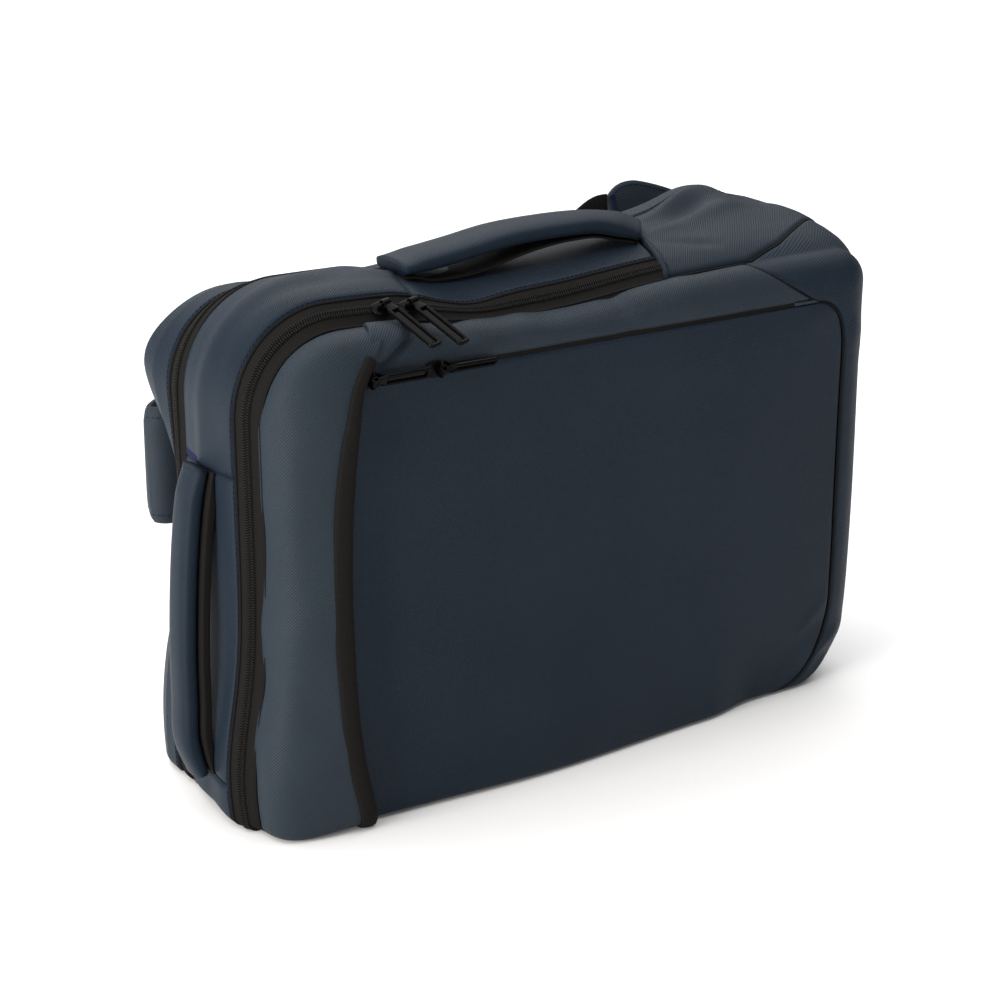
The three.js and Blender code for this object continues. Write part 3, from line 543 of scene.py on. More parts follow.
STITCH = {"pitch": 3.3, "length": 2.5, "width": 0.75, "height": 0.5, "lift": 0.1}
TACK = {"pitch": 0.9, "width": 0.9, "height": 0.7, "lift": 0.2}
STEP_SHARE = 0.2  # of a pitch, for the direction of a row of thread
# The dark list holds no stitches: it is painted seam shade, near-black cords in the seams
threads = {"blue": [], "royal": [], "navy": [], "dark": []}


def thread_places(line, normals, pitch, least):
    count = max(least, int(path_lengths(line)[-1] / pitch))
    return places_along(line, normals, (np.arange(count) + 0.5) / count, STEP_SHARE / count)


def stitch(line, normals, colour):
    """A row of stitches along a line that lies on a surface."""
    places, along, up = thread_places(line, normals, STITCH["pitch"], 2)
    template = capsule(STITCH["length"], STITCH["width"], STITCH["height"])
    threads[colour].append(scatter(template, places + up * STITCH["lift"], along, up))


def bar_tack(line, normals, length):
    """A dense band of blue thread across a line."""
    places, along, up = thread_places(line, normals, TACK["pitch"], 1)
    template = capsule(length, TACK["width"], TACK["height"])
    threads["royal"].append(scatter(template, places + up * TACK["lift"], unit(np.cross(up, along)), up))


def line_inside(outer, normals, distance, inset):
    """The line on a grid at a distance from an edge that its rows lead to, and the normals there."""
    line, facing = [], []
    for c in range(outer.shape[1]):
        order = np.argsort(distance[:, c])
        line.append([np.interp(inset, distance[order, c], outer[order, c, k]) for k in range(3)])
        facing.append([np.interp(inset, distance[order, c], normals[order, c, k]) for k in range(3)])
    return np.array(line), unit(np.array(facing))


def turned(grid):
    return np.swapaxes(grid, 0, 1)


# Materials
def connect(tree, made, inputs):
    """Sets a node's inputs; a value is a number, a colour or another node's output."""
    for key, value in inputs.items():
        if isinstance(value, bpy.types.NodeSocket):
            tree.links.new(value, made.inputs[key])
        else:
            made.inputs[key].default_value = value


def new_material(name):
    material = bpy.data.materials.new(name)
    material.use_nodes = True
    tree = material.node_tree
    return material, tree, tree.nodes["Principled BSDF"]


def node(tree, kind, inputs=None, **settings):
    made = tree.nodes.new(kind)
    for key, value in settings.items():
        setattr(made, key, value)
    connect(tree, made, inputs or {})
    return made


def maths(tree, operation, a, b=0.0):
    return node(tree, "ShaderNodeMath", {0: a, 1: b}, operation=operation).outputs[0]


def blend(tree, a, a_share, b, b_share):
    return maths(tree, "ADD", maths(tree, "MULTIPLY", a, a_share), maths(tree, "MULTIPLY", b, b_share))


def stripes(tree, vector, angle, pitch):
    """A wave between 0 and 1 across lines at an angle, with its pitch in metres."""
    x, y = math.cos(angle) * 2 * math.pi / pitch, math.sin(angle) * 2 * math.pi / pitch
    turn = node(tree, "ShaderNodeVectorMath", {0: vector, 1: (x, y, 0.0)}, operation="DOT_PRODUCT")
    wave = maths(tree, "SINE", turn.outputs["Value"])
    return maths(tree, "MULTIPLY_ADD", wave, 0.5)


def mixed(tree, factor, dark, light):
    inputs = {0: factor, 6: (*dark, 1.0), 7: (*light, 1.0)}
    return node(tree, "ShaderNodeMix", inputs, data_type="RGBA").outputs[2]


def cloth_place(tree):
    return node(tree, "ShaderNodeUVMap", uv_map="cloth").outputs["UV"]


NOISES = {  # scale and detail
    "cloudy": (14.0, 3.0), "grain": (900.0, 2.0), "fuzz": (1300.0, 2.0), "scuffs": (420.0, 4.0),
    "fibres": (2600.0, 2.0), "floor": (3.0, 3.0),
}


def noise(tree, kind):
    place = node(tree, "ShaderNodeTexCoord").outputs["Object"]
    scale, detail = NOISES[kind]
    inputs = {"Vector": place, "Scale": scale, "Detail": detail}
    return node(tree, "ShaderNodeTexNoise", inputs).outputs["Fac"]


def bump(tree, height, strength, distance):
    inputs = {"Height": height, "Strength": strength, "Distance": distance}
    return node(tree, "ShaderNodeBump", inputs).outputs["Normal"]


RELIEF = 0.0003
TWILL = {
    "pitch": 0.0013, "angle": math.radians(-42.0), "weft_turn": math.radians(64.0), "weft_pitch": 0.8,
    "rib_share": 0.75, "weft_share": 0.25, "woven_tone": 0.6, "cloudy_tone": 0.4, "bump": 0.65,
}
SHEEN_TINT = (0.6, 0.7, 0.85, 1.0)


def twill_material(name, dark, light, rough):
    """Coated twill: fine diagonal ribs crossed by the weft, a soft grain and slight wear of colour."""
    material, tree, shader = new_material(name)
    uv = cloth_place(tree)
    ribs = stripes(tree, uv, TWILL["angle"], TWILL["pitch"])
    weft = stripes(tree, uv, TWILL["angle"] + TWILL["weft_turn"], TWILL["pitch"] * TWILL["weft_pitch"])
    cloudy = noise(tree, "cloudy")
    grain = noise(tree, "grain")
    woven = blend(tree, ribs, TWILL["rib_share"], weft, TWILL["weft_share"])
    tone = blend(tree, woven, TWILL["woven_tone"], cloudy, TWILL["cloudy_tone"])
    height = maths(tree, "ADD", woven, maths(tree, "MULTIPLY", grain, 0.35))
    connect(tree, shader, {
        "Base Color": mixed(tree, tone, dark, light),
        "Roughness": maths(tree, "ADD", maths(tree, "MULTIPLY", grain, 0.12), rough),
        "Normal": bump(tree, height, TWILL["bump"], RELIEF),
        "Specular IOR Level": 0.1,
        "Sheen Weight": 0.03,
        "Sheen Roughness": 0.45,
        "Sheen Tint": SHEEN_TINT,
    })
    return material


def ribbed_material(name, dark, light, pitch, rough=0.75):
    """Woven tape: fine ribs across its length and a fuzzy grain."""
    material, tree, shader = new_material(name)
    uv = cloth_place(tree)
    ribs = stripes(tree, uv, 0.0, pitch)
    cross = stripes(tree, uv, math.radians(90.0), pitch * 0.7)
    grain = noise(tree, "fuzz")
    woven = blend(tree, ribs, 0.6, cross, 0.4)
    connect(tree, shader, {
        "Base Color": mixed(tree, blend(tree, woven, 0.5, grain, 0.5), dark, light),
        "Normal": bump(tree, maths(tree, "ADD", woven, grain), 0.5, RELIEF),
        "Roughness": rough,
        "Specular IOR Level": 0.05,
    })
    return material


def hard_material(name, dark, light, rough, shine):
    """Lacquered metal or moulded plastic: a slight mottle and fine scuffs in the gloss."""
    material, tree, shader = new_material(name)
    scuffs = noise(tree, "scuffs")
    connect(tree, shader, {
        "Base Color": mixed(tree, scuffs, dark, light),
        "Roughness": maths(tree, "ADD", maths(tree, "MULTIPLY", scuffs, 0.14), rough),
        "Normal": bump(tree, scuffs, 0.12, 0.0001),
        "Specular IOR Level": shine,
    })
    return material


def thread_material(name, dark, light):
    material, tree, shader = new_material(name)
    connect(tree, shader, {
        "Base Color": mixed(tree, noise(tree, "fibres"), dark, light),
        "Roughness": 0.7,
        "Specular IOR Level": 0.12,
    })
    return material


NAVY = twill_material("navy_coated_twill", (0.0016, 0.0048, 0.0096), (0.0092, 0.0172, 0.0286), 0.42)
# Painted light: a lighter copy of the same navy twill, for the left panel, the upper front panel, the straps
# and the wing tabs, standing in for the light that falls on them from the left and above
NAVY_PAINTED_LIGHT = twill_material("navy_twill_painted_light", (0.0058, 0.0100, 0.0152), (0.0236, 0.0328, 0.0440), 0.42)
TAPE = ribbed_material("black_zip_tape", (0.0032, 0.003, 0.0028), (0.0122, 0.0116, 0.0108), 0.0011)
BLACK_CLOTH = ribbed_material("black_binding", (0.0022, 0.0021, 0.002), (0.0118, 0.011, 0.0102), 0.0012)
WEBBING_CLOTH = ribbed_material("black_webbing", (0.005, 0.005, 0.005), (0.018, 0.018, 0.019), 0.0021, 0.65)
COIL = hard_material("zip_coil_nylon", (0.002, 0.002, 0.002), (0.0062, 0.006, 0.0058), 0.45, 0.1)
METAL = hard_material("black_lacquered_metal", (0.001, 0.001, 0.001), (0.0026, 0.0026, 0.0026), 0.07, 0.05)
PLASTIC = hard_material("black_moulded_plastic", (0.006, 0.006, 0.007), (0.013, 0.013, 0.014), 0.42, 0.4)
THREADS = {
    "blue": thread_material("dark_blue_thread", (0.002, 0.004, 0.014), (0.005, 0.009, 0.030)),
    "royal": thread_material("royal_blue_thread", (0.002, 0.005, 0.024), (0.006, 0.011, 0.050)),
    "navy": thread_material("navy_thread", (0.003, 0.005, 0.010), (0.008, 0.012, 0.022)),
    # Painted seam shade, not thread: near-black for the shade in the seams
    "dark": thread_material("painted_seam_shade", (0.0008, 0.0008, 0.001), (0.002, 0.002, 0.0024)),
}


# Front panels
SEAM_ROLLS = {  # depth and width of the turned edges
    "left_panel": (2.2, 4.5), "pocket": (2.4, 4.5), "zip_lip": (1.3, 2.0), "upper_panel": (2.2, 4.0),
    "fold_side": (3.2, 6.0), "fold_top": (2.6, 3.0), "tongue": (1.0, 1.6), "right_panel": (1.8, 3.4),
    "cross_seam": (1.8, 3.5), "gusset": (1.6, 2.4), "wrap_end": (1.4, 2.6), "wrap_side": (1.7, 3.2),
    "back_side": (1.8, 3.5), "back_face": (2.6, 6.0),
}
WAVES = {  # size, height and seed of the slow waves
    "left_panel": (95.0, 1.6, 4), "pocket": (170.0, 1.4, 11), "upper_panel": (70.0, 1.4, 7),
    "right_panel": (80.0, 1.0, 19), "wrap": (85.0, 1.6, 31), "back_side": (110.0, 1.4, 41),
    "back_face": (150.0, 1.6, 43), "gusset_top": (75.0, 1.2, 21), "gusset_corner": (75.0, 1.2, 22),
    "gusset_side": (75.0, 1.2, 23), "gusset_bottom": (75.0, 1.2, 24),
}
WAVE_COUNT = 7
CREASE_ENDS = 0.35  # of its height is left at a crease's ends
LEFT_CREASES = (  # start, end, width, height, in the front view
    ((-205, 232), (-176, 262), 13.0, 1.6),
    ((-214, 176), (-182, 196), 15.0, -1.8),
    ((-218, 120), (-186, 140), 14.0, 1.5),
    ((-216, 92), (-182, 78), 12.0, -1.6),
    ((-214, 40), (-178, 60), 16.0, 1.8),
)
POCKET_CREASES = (
    ((-150, 40), (-152, 190), 13.0, -2.2),
    ((-136, 225), (-148, 262), 12.0, -1.4),
    ((150, 24), (178, 44), 7.0, -1.6),
    ((160, 34), (186, 66), 6.0, 1.4),
    ((150, 254), (182, 262), 9.0, 1.0),
)
UPPER_CREASES = (
    ((-117, 294), (-147, 274), 3.5, -2.6),
    ((-96, 279), (-92, 293), 9.0, -2.2),
    ((-50, 276), (-44, 290), 12.0, 1.6),
    ((22, 276), (18, 292), 8.0, -2.0),
    ((70, 278), (66, 294), 10.0, 1.4),
)
RIGHT_CREASES = (
    ((176, 22), (204, 40), 5.0, 2.0),
    ((184, 12), (206, 26), 5.0, -1.6),
    ((192, 250), (208, 236), 9.0, 1.4),
)
WAVE_FADE = {"left_panel": 14.0, "pocket": 30.0, "upper_panel": 14.0, "wrap": 12.0}  # waves end at a seam
FLOOR_REACH = 1.5  # points lower than this lie on the floor
FULL_RUN = 60.0  # from this inset inwards the cloth follows the front view
RUN_STEPS = 3000


def face_cloth(flat, profile):
    """Cloth coordinates of a face: the front view, run on evenly round its rim."""
    x, z = flat[..., 0], flat[..., 1]
    step = 0.2
    inset = inset_at(x, z)
    by_x = inset_at(x + step, z) - inset_at(x - step, z)
    by_z = inset_at(x, z + step) - inset_at(x, z - step)
    steps = np.linspace(0.0, INSET_RANGE[1], RUN_STEPS)
    run = path_lengths(np.stack([steps, through(profile, steps)], -1))
    extra = (np.interp(FULL_RUN, steps, run) - FULL_RUN) - (np.interp(inset, steps, run) - inset)
    return flat - unit(np.stack([by_x, by_z], -1)) * extra[..., None]


def seam_rolls(grid, edges, kind):
    """The drop into the seams at the named edges: first and last columns, first and last rows."""
    distances = dict(zip(("left", "right", "first", "last"), edge_distances(grid)))
    return sum(roll(distances[edge], *SEAM_ROLLS[kind]) for edge in edges)


def on_floor(points, lift):
    """The lift, less what would press a low point through the floor."""
    return np.where(points[..., 2] < FLOOR_REACH, np.minimum(lift, 0.0), lift)


def raised(grid, normals, lift):
    return grid + normals * lift[..., None]


def crease(points, rows, ends=0.0):
    """Soft folds: each row has two ends, a width and a height, in the points' own coordinates."""
    lift = np.zeros(points.shape[:-1])
    for start, end, width, height in rows:
        a, b = np.array(start, float), np.array(end, float)
        along = np.clip(((points - a) @ (b - a)) / ((b - a) @ (b - a)), 0, 1)
        away = np.linalg.norm(points - (a + along[..., None] * (b - a)), axis=-1)
        arch = np.sin(np.pi * np.clip(along, ends, 1 - ends))
        lift += height * bell(away / width) * lerp(CREASE_ENDS, 1.0, arch)
    return lift


def face_crease(grid, rows):
    """Soft folds whose ends are given in the front view."""
    return crease(grid[..., [0, 2]], rows, 0.02)


def undulation(points, kind):
    """A slow unevenness of padded cloth: a few seeded waves of about the kind's size."""
    size, height, seed = WAVES[kind]
    rng = np.random.default_rng(seed)
    lift = np.zeros(points.shape[:-1])
    for _ in range(WAVE_COUNT):
        way = unit(rng.normal(size=3))
        length = size * rng.uniform(0.7, 1.6)
        lift += np.sin(points @ way * 2 * np.pi / length + rng.uniform(0, 6.3))
    return lift * height / WAVE_COUNT


RIM_TOP = HEIGHT - RIM_INSET
RIM_LOW = float(base_height(RIM_INSET))
FINE_CELL = 1.6
LEFT_MIDDLE_X = -190


def rim_between(start, stop):
    """The face's rim between two places on its ring."""
    return ring_at(RIM_INSET, np.linspace(start, stop, FINE))


def add_left_panel():
    """The puffy panel at the left, from the middle of one corner to the middle of the other."""
    low_corner, high_corner = BASE_FROM - ARC_STEPS / 2, LEFT_FROM - ARC_STEPS / 2
    low = rim_between(low_corner, base_index(BINDING["x"], RIM_INSET))
    high = rim_between(high_corner, top_index(binding_x(RIM_TOP), RIM_INSET))
    lines = low, high, rim_between(low_corner, high_corner), binding_line(RIM_LOW, RIM_TOP)
    middle = HEIGHT / 2
    along = even_steps((RIM_INSET - LENGTH / 2, middle), (binding_x(middle), middle), LEFT_PROFILE, FINE_CELL)
    up = even_steps((LEFT_MIDDLE_X, RIM_LOW), (LEFT_MIDDLE_X, RIM_TOP), LEFT_PROFILE)
    flat = coons(lines, along, up)
    grid, normals = lift_face(flat, LEFT_PROFILE)
    lift = seam_rolls(grid, ("left", "first", "last"), "left_panel")
    waves = undulation(grid, "left_panel") + face_crease(grid, LEFT_CREASES)
    lift += waves * smooth(edge_distances(grid)[0] / WAVE_FADE["left_panel"])
    made = shell(raised(grid, normals, on_floor(grid, lift)), normals, uv=face_cloth(flat, LEFT_PROFILE))
    add_cloth("left_front_panel", made, NAVY_PAINTED_LIGHT)


BINDING_SECTION = (  # across and up, from the panel's face over its edge
    (-11.0, -0.6), (-11.2, 0.9), (-10.2, 1.7), (-8.0, 2.1), (-5.0, 2.3), (-2.0, 2.2), (0.4, 1.6),
    (1.9, 0.2), (2.3, -2.0), (1.8, -5.0), (0.8, -8.6), (-1.6, -8.8), (-2.4, -4.0), (-3.0, -1.4),
)
BINDING_TAPER = {"full": 0.84, "less": 0.34, "from_z": 225.0, "fade_z": 55.0}
BINDING_WANDER = ((0.5, 31.0), (0.35, 12.0))  # height and length of the waves in its free edge
BINDING_CELL = 2.2
FREE_EDGE = -9.0


def add_binding():
    """The black tape folded over the puffy panel's free edge."""
    line, facing = lift_face(binding_line(BINDING["low"], BINDING["high"]), LEFT_PROFILE)
    shares = np.linspace(0, 1, int(path_lengths(line)[-1] / BINDING_CELL))
    line, facing = resample(line, shares), unit(resample_like(line, facing, shares))
    across = unit(np.cross(unit(np.gradient(line, axis=0)), facing))
    section = np.array(BINDING_SECTION)
    lengths = path_lengths(line)
    wander = sum(height * np.sin(lengths / length) for height, length in BINDING_WANDER)
    top = smooth((line[:, 2] - BINDING_TAPER["from_z"]) / BINDING_TAPER["fade_z"])
    wide = section[None, :, :1] * (BINDING_TAPER["full"] - BINDING_TAPER["less"] * top)[:, None, None]
    rings = line[:, None] + wide * across[:, None] + section[None, :, 1:] * facing[:, None]
    rings += (wander[:, None] * (section[:, 0] < FREE_EDGE))[..., None] * across[:, None]
    faces = [face[:, ::-1] for face in tube_faces(*rings.shape[:2])]
    uv = np.stack(np.broadcast_arrays(lengths[:, None], path_lengths(section)[None]), -1).reshape(-1, 2)
    add_piece("left_panel_binding", (rings.reshape(-1, 3), faces, uv), BLACK_CLOTH)


def shoulder_x(z):
    slope = (SHOULDER_SEAM["high_x"] - SHOULDER_SEAM["low_x"]) / (SHOULDER_SEAM["high_z"] - POCKET["top"])
    return SHOULDER_SEAM["low_x"] + (z - POCKET["top"]) * slope


POCKET_TUCK = 8.0
RIGHT_LOW_X = POCKET["right"] - POCKET_ROUND["low_x"]
RIGHT_TOP_X = POCKET["right"] - POCKET_ROUND["top_x"]


def pocket_right_edge(low_z=RIM_LOW):
    """The pocket's right edge, upwards from the base."""
    right, top = POCKET["right"], POCKET["top"]
    low_round = quadratic((RIGHT_LOW_X, low_z), (right, low_z), (right, POCKET_ROUND["low_z"]))
    side = straight((right, POCKET_ROUND["low_z"]), (right, top - POCKET_ROUND["top_z"]))
    top_round = quadratic((right, top - POCKET_ROUND["top_z"]), (right, top), (RIGHT_TOP_X, top))
    return np.concatenate([low_round, side[1:], top_round[1:]])


POCKET_LIP = 0.3  # how far each lip covers the zip
SEAM_CLEAR = 0.6


def add_pocket_panel():
    top = POCKET["top"] + POCKET_LIP
    left = binding_line(RIM_LOW, top, -POCKET_TUCK)
    low = straight((left[0, 0], RIM_LOW), (RIGHT_LOW_X, RIM_LOW))
    high = straight((left[-1, 0], top), (RIGHT_TOP_X, top))
    along = np.linspace(0, 1, int((RIGHT_TOP_X - left[-1, 0]) / CELL))
    up = even_steps((0, RIM_LOW), (0, top), FRONT_PROFILE)
    flat = coons((low, high, left, pocket_right_edge()), along, up)
    grid, normals = lift_face(flat, FRONT_PROFILE)
    lift = seam_rolls(grid, ("right", "first"), "pocket") + seam_rolls(grid, ("last",), "zip_lip")
    lift += undulation(grid, "pocket") * smooth(edge_distances(grid)[3] / WAVE_FADE["pocket"])
    lift += face_crease(grid, POCKET_CREASES)
    made = shell(raised(grid, normals, on_floor(grid, lift)), normals, uv=face_cloth(flat, FRONT_PROFILE))
    add_cloth("front_pocket_panel", made, NAVY)


FOLD = {"low": ((-162.0, 279.0), (-151.0, 274.0)), "high": ((-149.0, 294.4), (-120.0, 294.4)), "height": 3.4}
TONGUE = {"gap": 0.5, "short": 2, "lift": 0.2}
FOLD_GRID = (30, 24)  # columns, rows
TONGUE_GRID = (12, 6)


def four_lines(low, high):
    """Two lines along, and the straight lines up between their ends."""
    return low, high, *(straight(low[k], high[k]) for k in (0, -1))


def folded_tab():
    """The small fold of cloth between the binding's top and the main zip."""
    lines = four_lines(straight(*FOLD["low"]), straight(*FOLD["high"]))
    flat = coons(lines, *(np.linspace(0, 1, count) for count in FOLD_GRID))
    grid, normals = lift_face(flat, FRONT_PROFILE)
    lift = FOLD["height"] + seam_rolls(grid, ("right", "first"), "fold_side")
    lift = lift + seam_rolls(grid, ("last",), "fold_top")
    return shell(raised(grid, normals, lift), normals, uv=face_cloth(flat, FRONT_PROFILE))


def zip_tongue(high_z):
    """The short tongue that closes the pocket zip's right end."""
    low_z = POCKET["top"] + TONGUE["gap"]
    lines = four_lines(*(
        straight((POCKET_ZIP["right"], z), (shoulder_x(z) - TONGUE["short"], z)) for z in (low_z, high_z)
    ))
    flat = coons(lines, *(np.linspace(0, 1, count) for count in TONGUE_GRID))
    grid, normals = lift_face(flat, FRONT_PROFILE)
    lift = TONGUE["lift"] + seam_rolls(grid, ("left", "first"), "tongue")
    return shell(raised(grid, normals, lift), normals, uv=flat)


def add_upper_panel():
    """The strip above the pocket zip, with its tongue and its fold."""
    low_z = POCKET["top"] + POCKET_ZIP["height"] - POCKET_LIP
    left = binding_line(low_z, RIM_TOP, -POCKET_TUCK)
    right = straight((shoulder_x(low_z), low_z), (shoulder_x(RIM_TOP), RIM_TOP))
    along = np.linspace(0, 1, int((right[0, 0] - left[0, 0]) / CELL))
    up = even_steps((0, low_z), (0, RIM_TOP), FRONT_PROFILE, FINE_CELL)
    flat = coons((straight(left[0], right[0]), straight(left[-1], right[-1]), left, right), along, up)
    grid, normals = lift_face(flat, FRONT_PROFILE)
    lift = seam_rolls(grid, ("right", "last"), "upper_panel") + seam_rolls(grid, ("first",), "zip_lip")
    lift += undulation(grid, "upper_panel") * smooth(edge_distances(grid)[2] / WAVE_FADE["upper_panel"])
    lift += face_crease(grid, UPPER_CREASES)
    panel = shell(raised(grid, normals, lift), normals, uv=face_cloth(flat, FRONT_PROFILE))
    add_cloth("upper_front_panel", joined(panel, zip_tongue(low_z), folded_tab()), NAVY_PAINTED_LIGHT)


def shoulder_line():
    return straight((shoulder_x(RIM_TOP), RIM_TOP - SEAM_CLEAR), (RIGHT_TOP_X, POCKET["top"]))


RIGHT_PANEL = {"columns": 190, "face_rows": 18, "side_rows": 20, "fine": 200}


def add_right_panel():
    """The panel between the pocket and the wrap. It runs round the bag's right edge."""
    first, last = top_index(shoulder_x(RIM_TOP), RIM_INSET), base_index(RIGHT_LOW_X, RIM_INSET) - RING
    rim = rim_between(first, last)
    shares = np.linspace(0, 1, RIGHT_PANEL["columns"])
    index = np.interp(shares * path_lengths(rim)[-1], path_lengths(rim), np.linspace(first, last, FINE))
    inner = np.concatenate([shoulder_line(), pocket_right_edge(RIM_LOW + SEAM_CLEAR)[::-1][1:]])
    t = np.linspace(0, 1, RIGHT_PANEL["fine"])[:, None]
    flat = []
    for a, b in zip(resample(inner, shares), resample(rim, shares)):
        line = a * (1 - t) + b * t
        lengths = path_lengths(face_point(line[:, 0], line[:, 1], FRONT_PROFILE))
        even = np.linspace(0, lengths[-1], RIGHT_PANEL["face_rows"])
        flat.append(resample(line, np.interp(even, lengths, t[:, 0])))
    face = lift_face(turned(np.array(flat)), FRONT_PROFILE)[0]
    seam = np.maximum(side_seam_y(index), MAIN_ZIP_Y[1] + SEAM_CLEAR)
    ys = lerp(MAIN_ZIP_Y[1], seam, np.linspace(0, 1, RIGHT_PANEL["side_rows"])[1:, None])
    grid = np.concatenate([face, wall_points(ys, np.broadcast_to(index, ys.shape))])
    normals = grid_normals(grid)
    lift = seam_rolls(grid, ("first", "last"), "right_panel") + undulation(grid, "right_panel")
    lift += face_crease(grid, RIGHT_CREASES)
    made = shell(raised(grid, normals, on_floor(grid, lift)), normals)
    add_cloth("right_front_panel", made, NAVY)


# Zips
TOOTH = {
    "pitch": 1.55, "length": 3.0, "width": 1.05, "height": 1.5, "apart": 1.35, "lift": 0.2, "step_share": 0.3,
}


def coil_teeth(line, facing):
    """Two rows of coil loops that interlock along the middle of a zip."""
    rows = []
    count = int(path_lengths(line)[-1] / TOOTH["pitch"])
    template = capsule(TOOTH["length"], TOOTH["width"], TOOTH["height"])
    for side, phase in ((-1, 0.25), (1, 0.75)):
        shares = (np.arange(count - 1) + phase) / count
        places, along, up = places_along(line, facing, shares, TOOTH["step_share"] / count)
        across = unit(np.cross(up, along))
        places = places + across * side * TOOTH["apart"] + up * TOOTH["lift"]
        rows.append(scatter(template, places, across, up))
    return joined(*rows)


ZIP = {"tuck": 2.0, "under": 5.0, "rows": 13, "cell": 2.2, "sunk": 1.0, "ridge": 0.7, "ridge_width": 3.2}
TAPE_THICKNESS = 1.0


def tape_stretch(ys, start, stop):
    grid = ring_patch(ys, start, stop, ZIP["cell"])
    normals = grid_normals(grid)
    across = edge_distances(grid)[2]
    ridge = ZIP["ridge"] * bell((across - across[-1:] / 2) / ZIP["ridge_width"])
    return raised(grid, normals, ridge - ZIP["sunk"]), normals


def middle_line(outer, normals):
    k = outer.shape[0] // 2
    return outer[k], normals[k]


def seam_x(seam, y):
    back, front = GUSSET_Y[0], MAIN_ZIP_Y[1]
    return seam["back_x"] + (seam["front_x"] - seam["back_x"]) * (back - y) / (back - front)


def side_seam_y(index):
    """How far back the right front panel reaches round the bag's edge."""
    x = wall_points(np.zeros(len(index)), index)[:, 0]
    return np.interp(x, SIDE_PANEL_SEAM["x"], SIDE_PANEL_SEAM["y"])


def wrap_top(y, inset, offset=0.0):
    return top_index(seam_x(WRAP_SEAM, y) + offset, inset)


def wrap_base(y, inset, offset=0.0):
    return base_index(LOWER_WRAP_X + offset, inset)


def add_ring_zip(name, span):
    """A zip that runs from the wrap's upper edge round the left end to its lower edge."""
    ys = np.linspace(span[0] + ZIP["tuck"], span[1] - ZIP["tuck"], ZIP["rows"])
    start, stop = partial(wrap_top, offset=ZIP["under"]), partial(wrap_base, offset=ZIP["under"])
    outer, normals = tape_stretch(ys, start, stop)
    add_piece(f"{name}_tape", shell(outer, normals, TAPE_THICKNESS), TAPE)
    add_piece(f"{name}_coil", coil_teeth(*middle_line(outer, normals)), COIL, own_node=False)


POCKET_TAPE = {"below": 1.0, "above": 1.6, "left": 4.0, "right": 3.0, "sunk": 1.3, "columns": 140, "rows": 7}


def add_pocket_zip():
    low_z = POCKET["top"] - POCKET_TAPE["below"]
    high_z = POCKET["top"] + POCKET_ZIP["height"] + POCKET_TAPE["above"]
    left_x, right_x = binding_x(low_z) - POCKET_TAPE["left"], POCKET_ZIP["right"] + POCKET_TAPE["right"]
    columns = np.linspace(left_x, right_x, POCKET_TAPE["columns"])
    rows = np.linspace(low_z, high_z, POCKET_TAPE["rows"])
    flat = np.stack(np.meshgrid(columns, rows), -1)
    grid, normals = lift_face(flat, FRONT_PROFILE)
    made = shell(grid - normals * POCKET_TAPE["sunk"], normals, TAPE_THICKNESS, flat)
    add_piece("pocket_zip_tape", made, TAPE)


# The gusset and the wrap
GUSSET_RIDGE = {"y": 7.0, "width": 8.0, "height": 1.6}
GUSSET_CELL = 2.2
STITCH_INSET = 2.6
CORNER_CREASES = (  # start, end, width, height
    ((-126, 24, 310), (-192, 6, 304), 9.0, 1.8),
    ((-118, 12, 309), (-176, -6, 307), 8.0, -1.4),
)
CORNER_TACKS = ((0, (4.0, 36.0), 3.4), (1, (12.0, 36.0), 4.6))  # edge, from and to y, length


def add_gusset(name, start, stop, ridge=0.0, creases=()):
    count = int((GUSSET_Y[0] - GUSSET_Y[1]) / GUSSET_CELL)
    grid = ring_patch(np.linspace(*GUSSET_Y, count), start, stop)
    normals = grid_normals(grid)
    lift = seam_rolls(grid, ("left", "right"), "cross_seam") + seam_rolls(grid, ("first", "last"), "gusset")
    lift += undulation(grid, name)
    lift += ridge * GUSSET_RIDGE["height"] * bell((grid[..., 1] - GUSSET_RIDGE["y"]) / GUSSET_RIDGE["width"])
    lift += crease(grid, creases)
    outer = raised(grid, normals, on_floor(grid, lift))
    add_cloth(name, shell(outer, normals), NAVY)
    for edge, colour in ((3, "blue"), (2, "navy")):
        stitch(*line_inside(outer, normals, edge_distances(outer)[edge], STITCH_INSET), colour)
    return outer, normals


def corner_seam(y, inset):
    return top_index(seam_x(CORNER_SEAM, y), inset)


def side_high(y, inset):
    return left_index(SIDE_SEAM["high_z"], inset)


def side_low(y, inset):
    return left_index(SIDE_SEAM["low_z"], inset)


def add_gussets():
    add_gusset("gusset_top", wrap_top, corner_seam)
    outer, normals = add_gusset("gusset_corner", corner_seam, side_high, 1.0, CORNER_CREASES)
    for edge, (from_y, to_y), length in CORNER_TACKS:
        across = turned(edge_distances(outer)[edge])
        line, facing = line_inside(turned(outer), turned(normals), across, STITCH_INSET)
        stitch(line, facing, "blue")
        tacked = (line[:, 1] > from_y) & (line[:, 1] < to_y)
        bar_tack(line[tacked], facing[tacked], length)
    add_gusset("gusset_side", side_high, side_low, 0.3)
    add_gusset("gusset_bottom", side_low, wrap_base)


WRAP_FOLDS = (  # start, end, width, height
    ((98, 42, 306), (156, 57, 321), 6.0, 2.8),
    ((110, 28, 308), (170, 48, 316), 7.0, -3.0),
    ((102, 10, 307), (176, 34, 312), 8.0, 2.8),
    ((176, 57, 318), (188, 34, 311), 6.0, -2.4),
    ((84, -6, 305), (114, -22, 303), 5.0, -1.8),
    ((80, 8, 306), (108, 14, 307), 6.0, 1.6),
)
PIPING = {
    "from_edge": 1.8, "radius": 1.7, "height": 1.5, "groove": 4.6, "groove_depth": 0.7, "groove_width": 1.2,
}
WRAP = {"rows": 44, "columns": 330, "lift": 0.5, "lift_z": 20.0}
WRAP_GAP = {"back": 0.4, "front": 0.3}


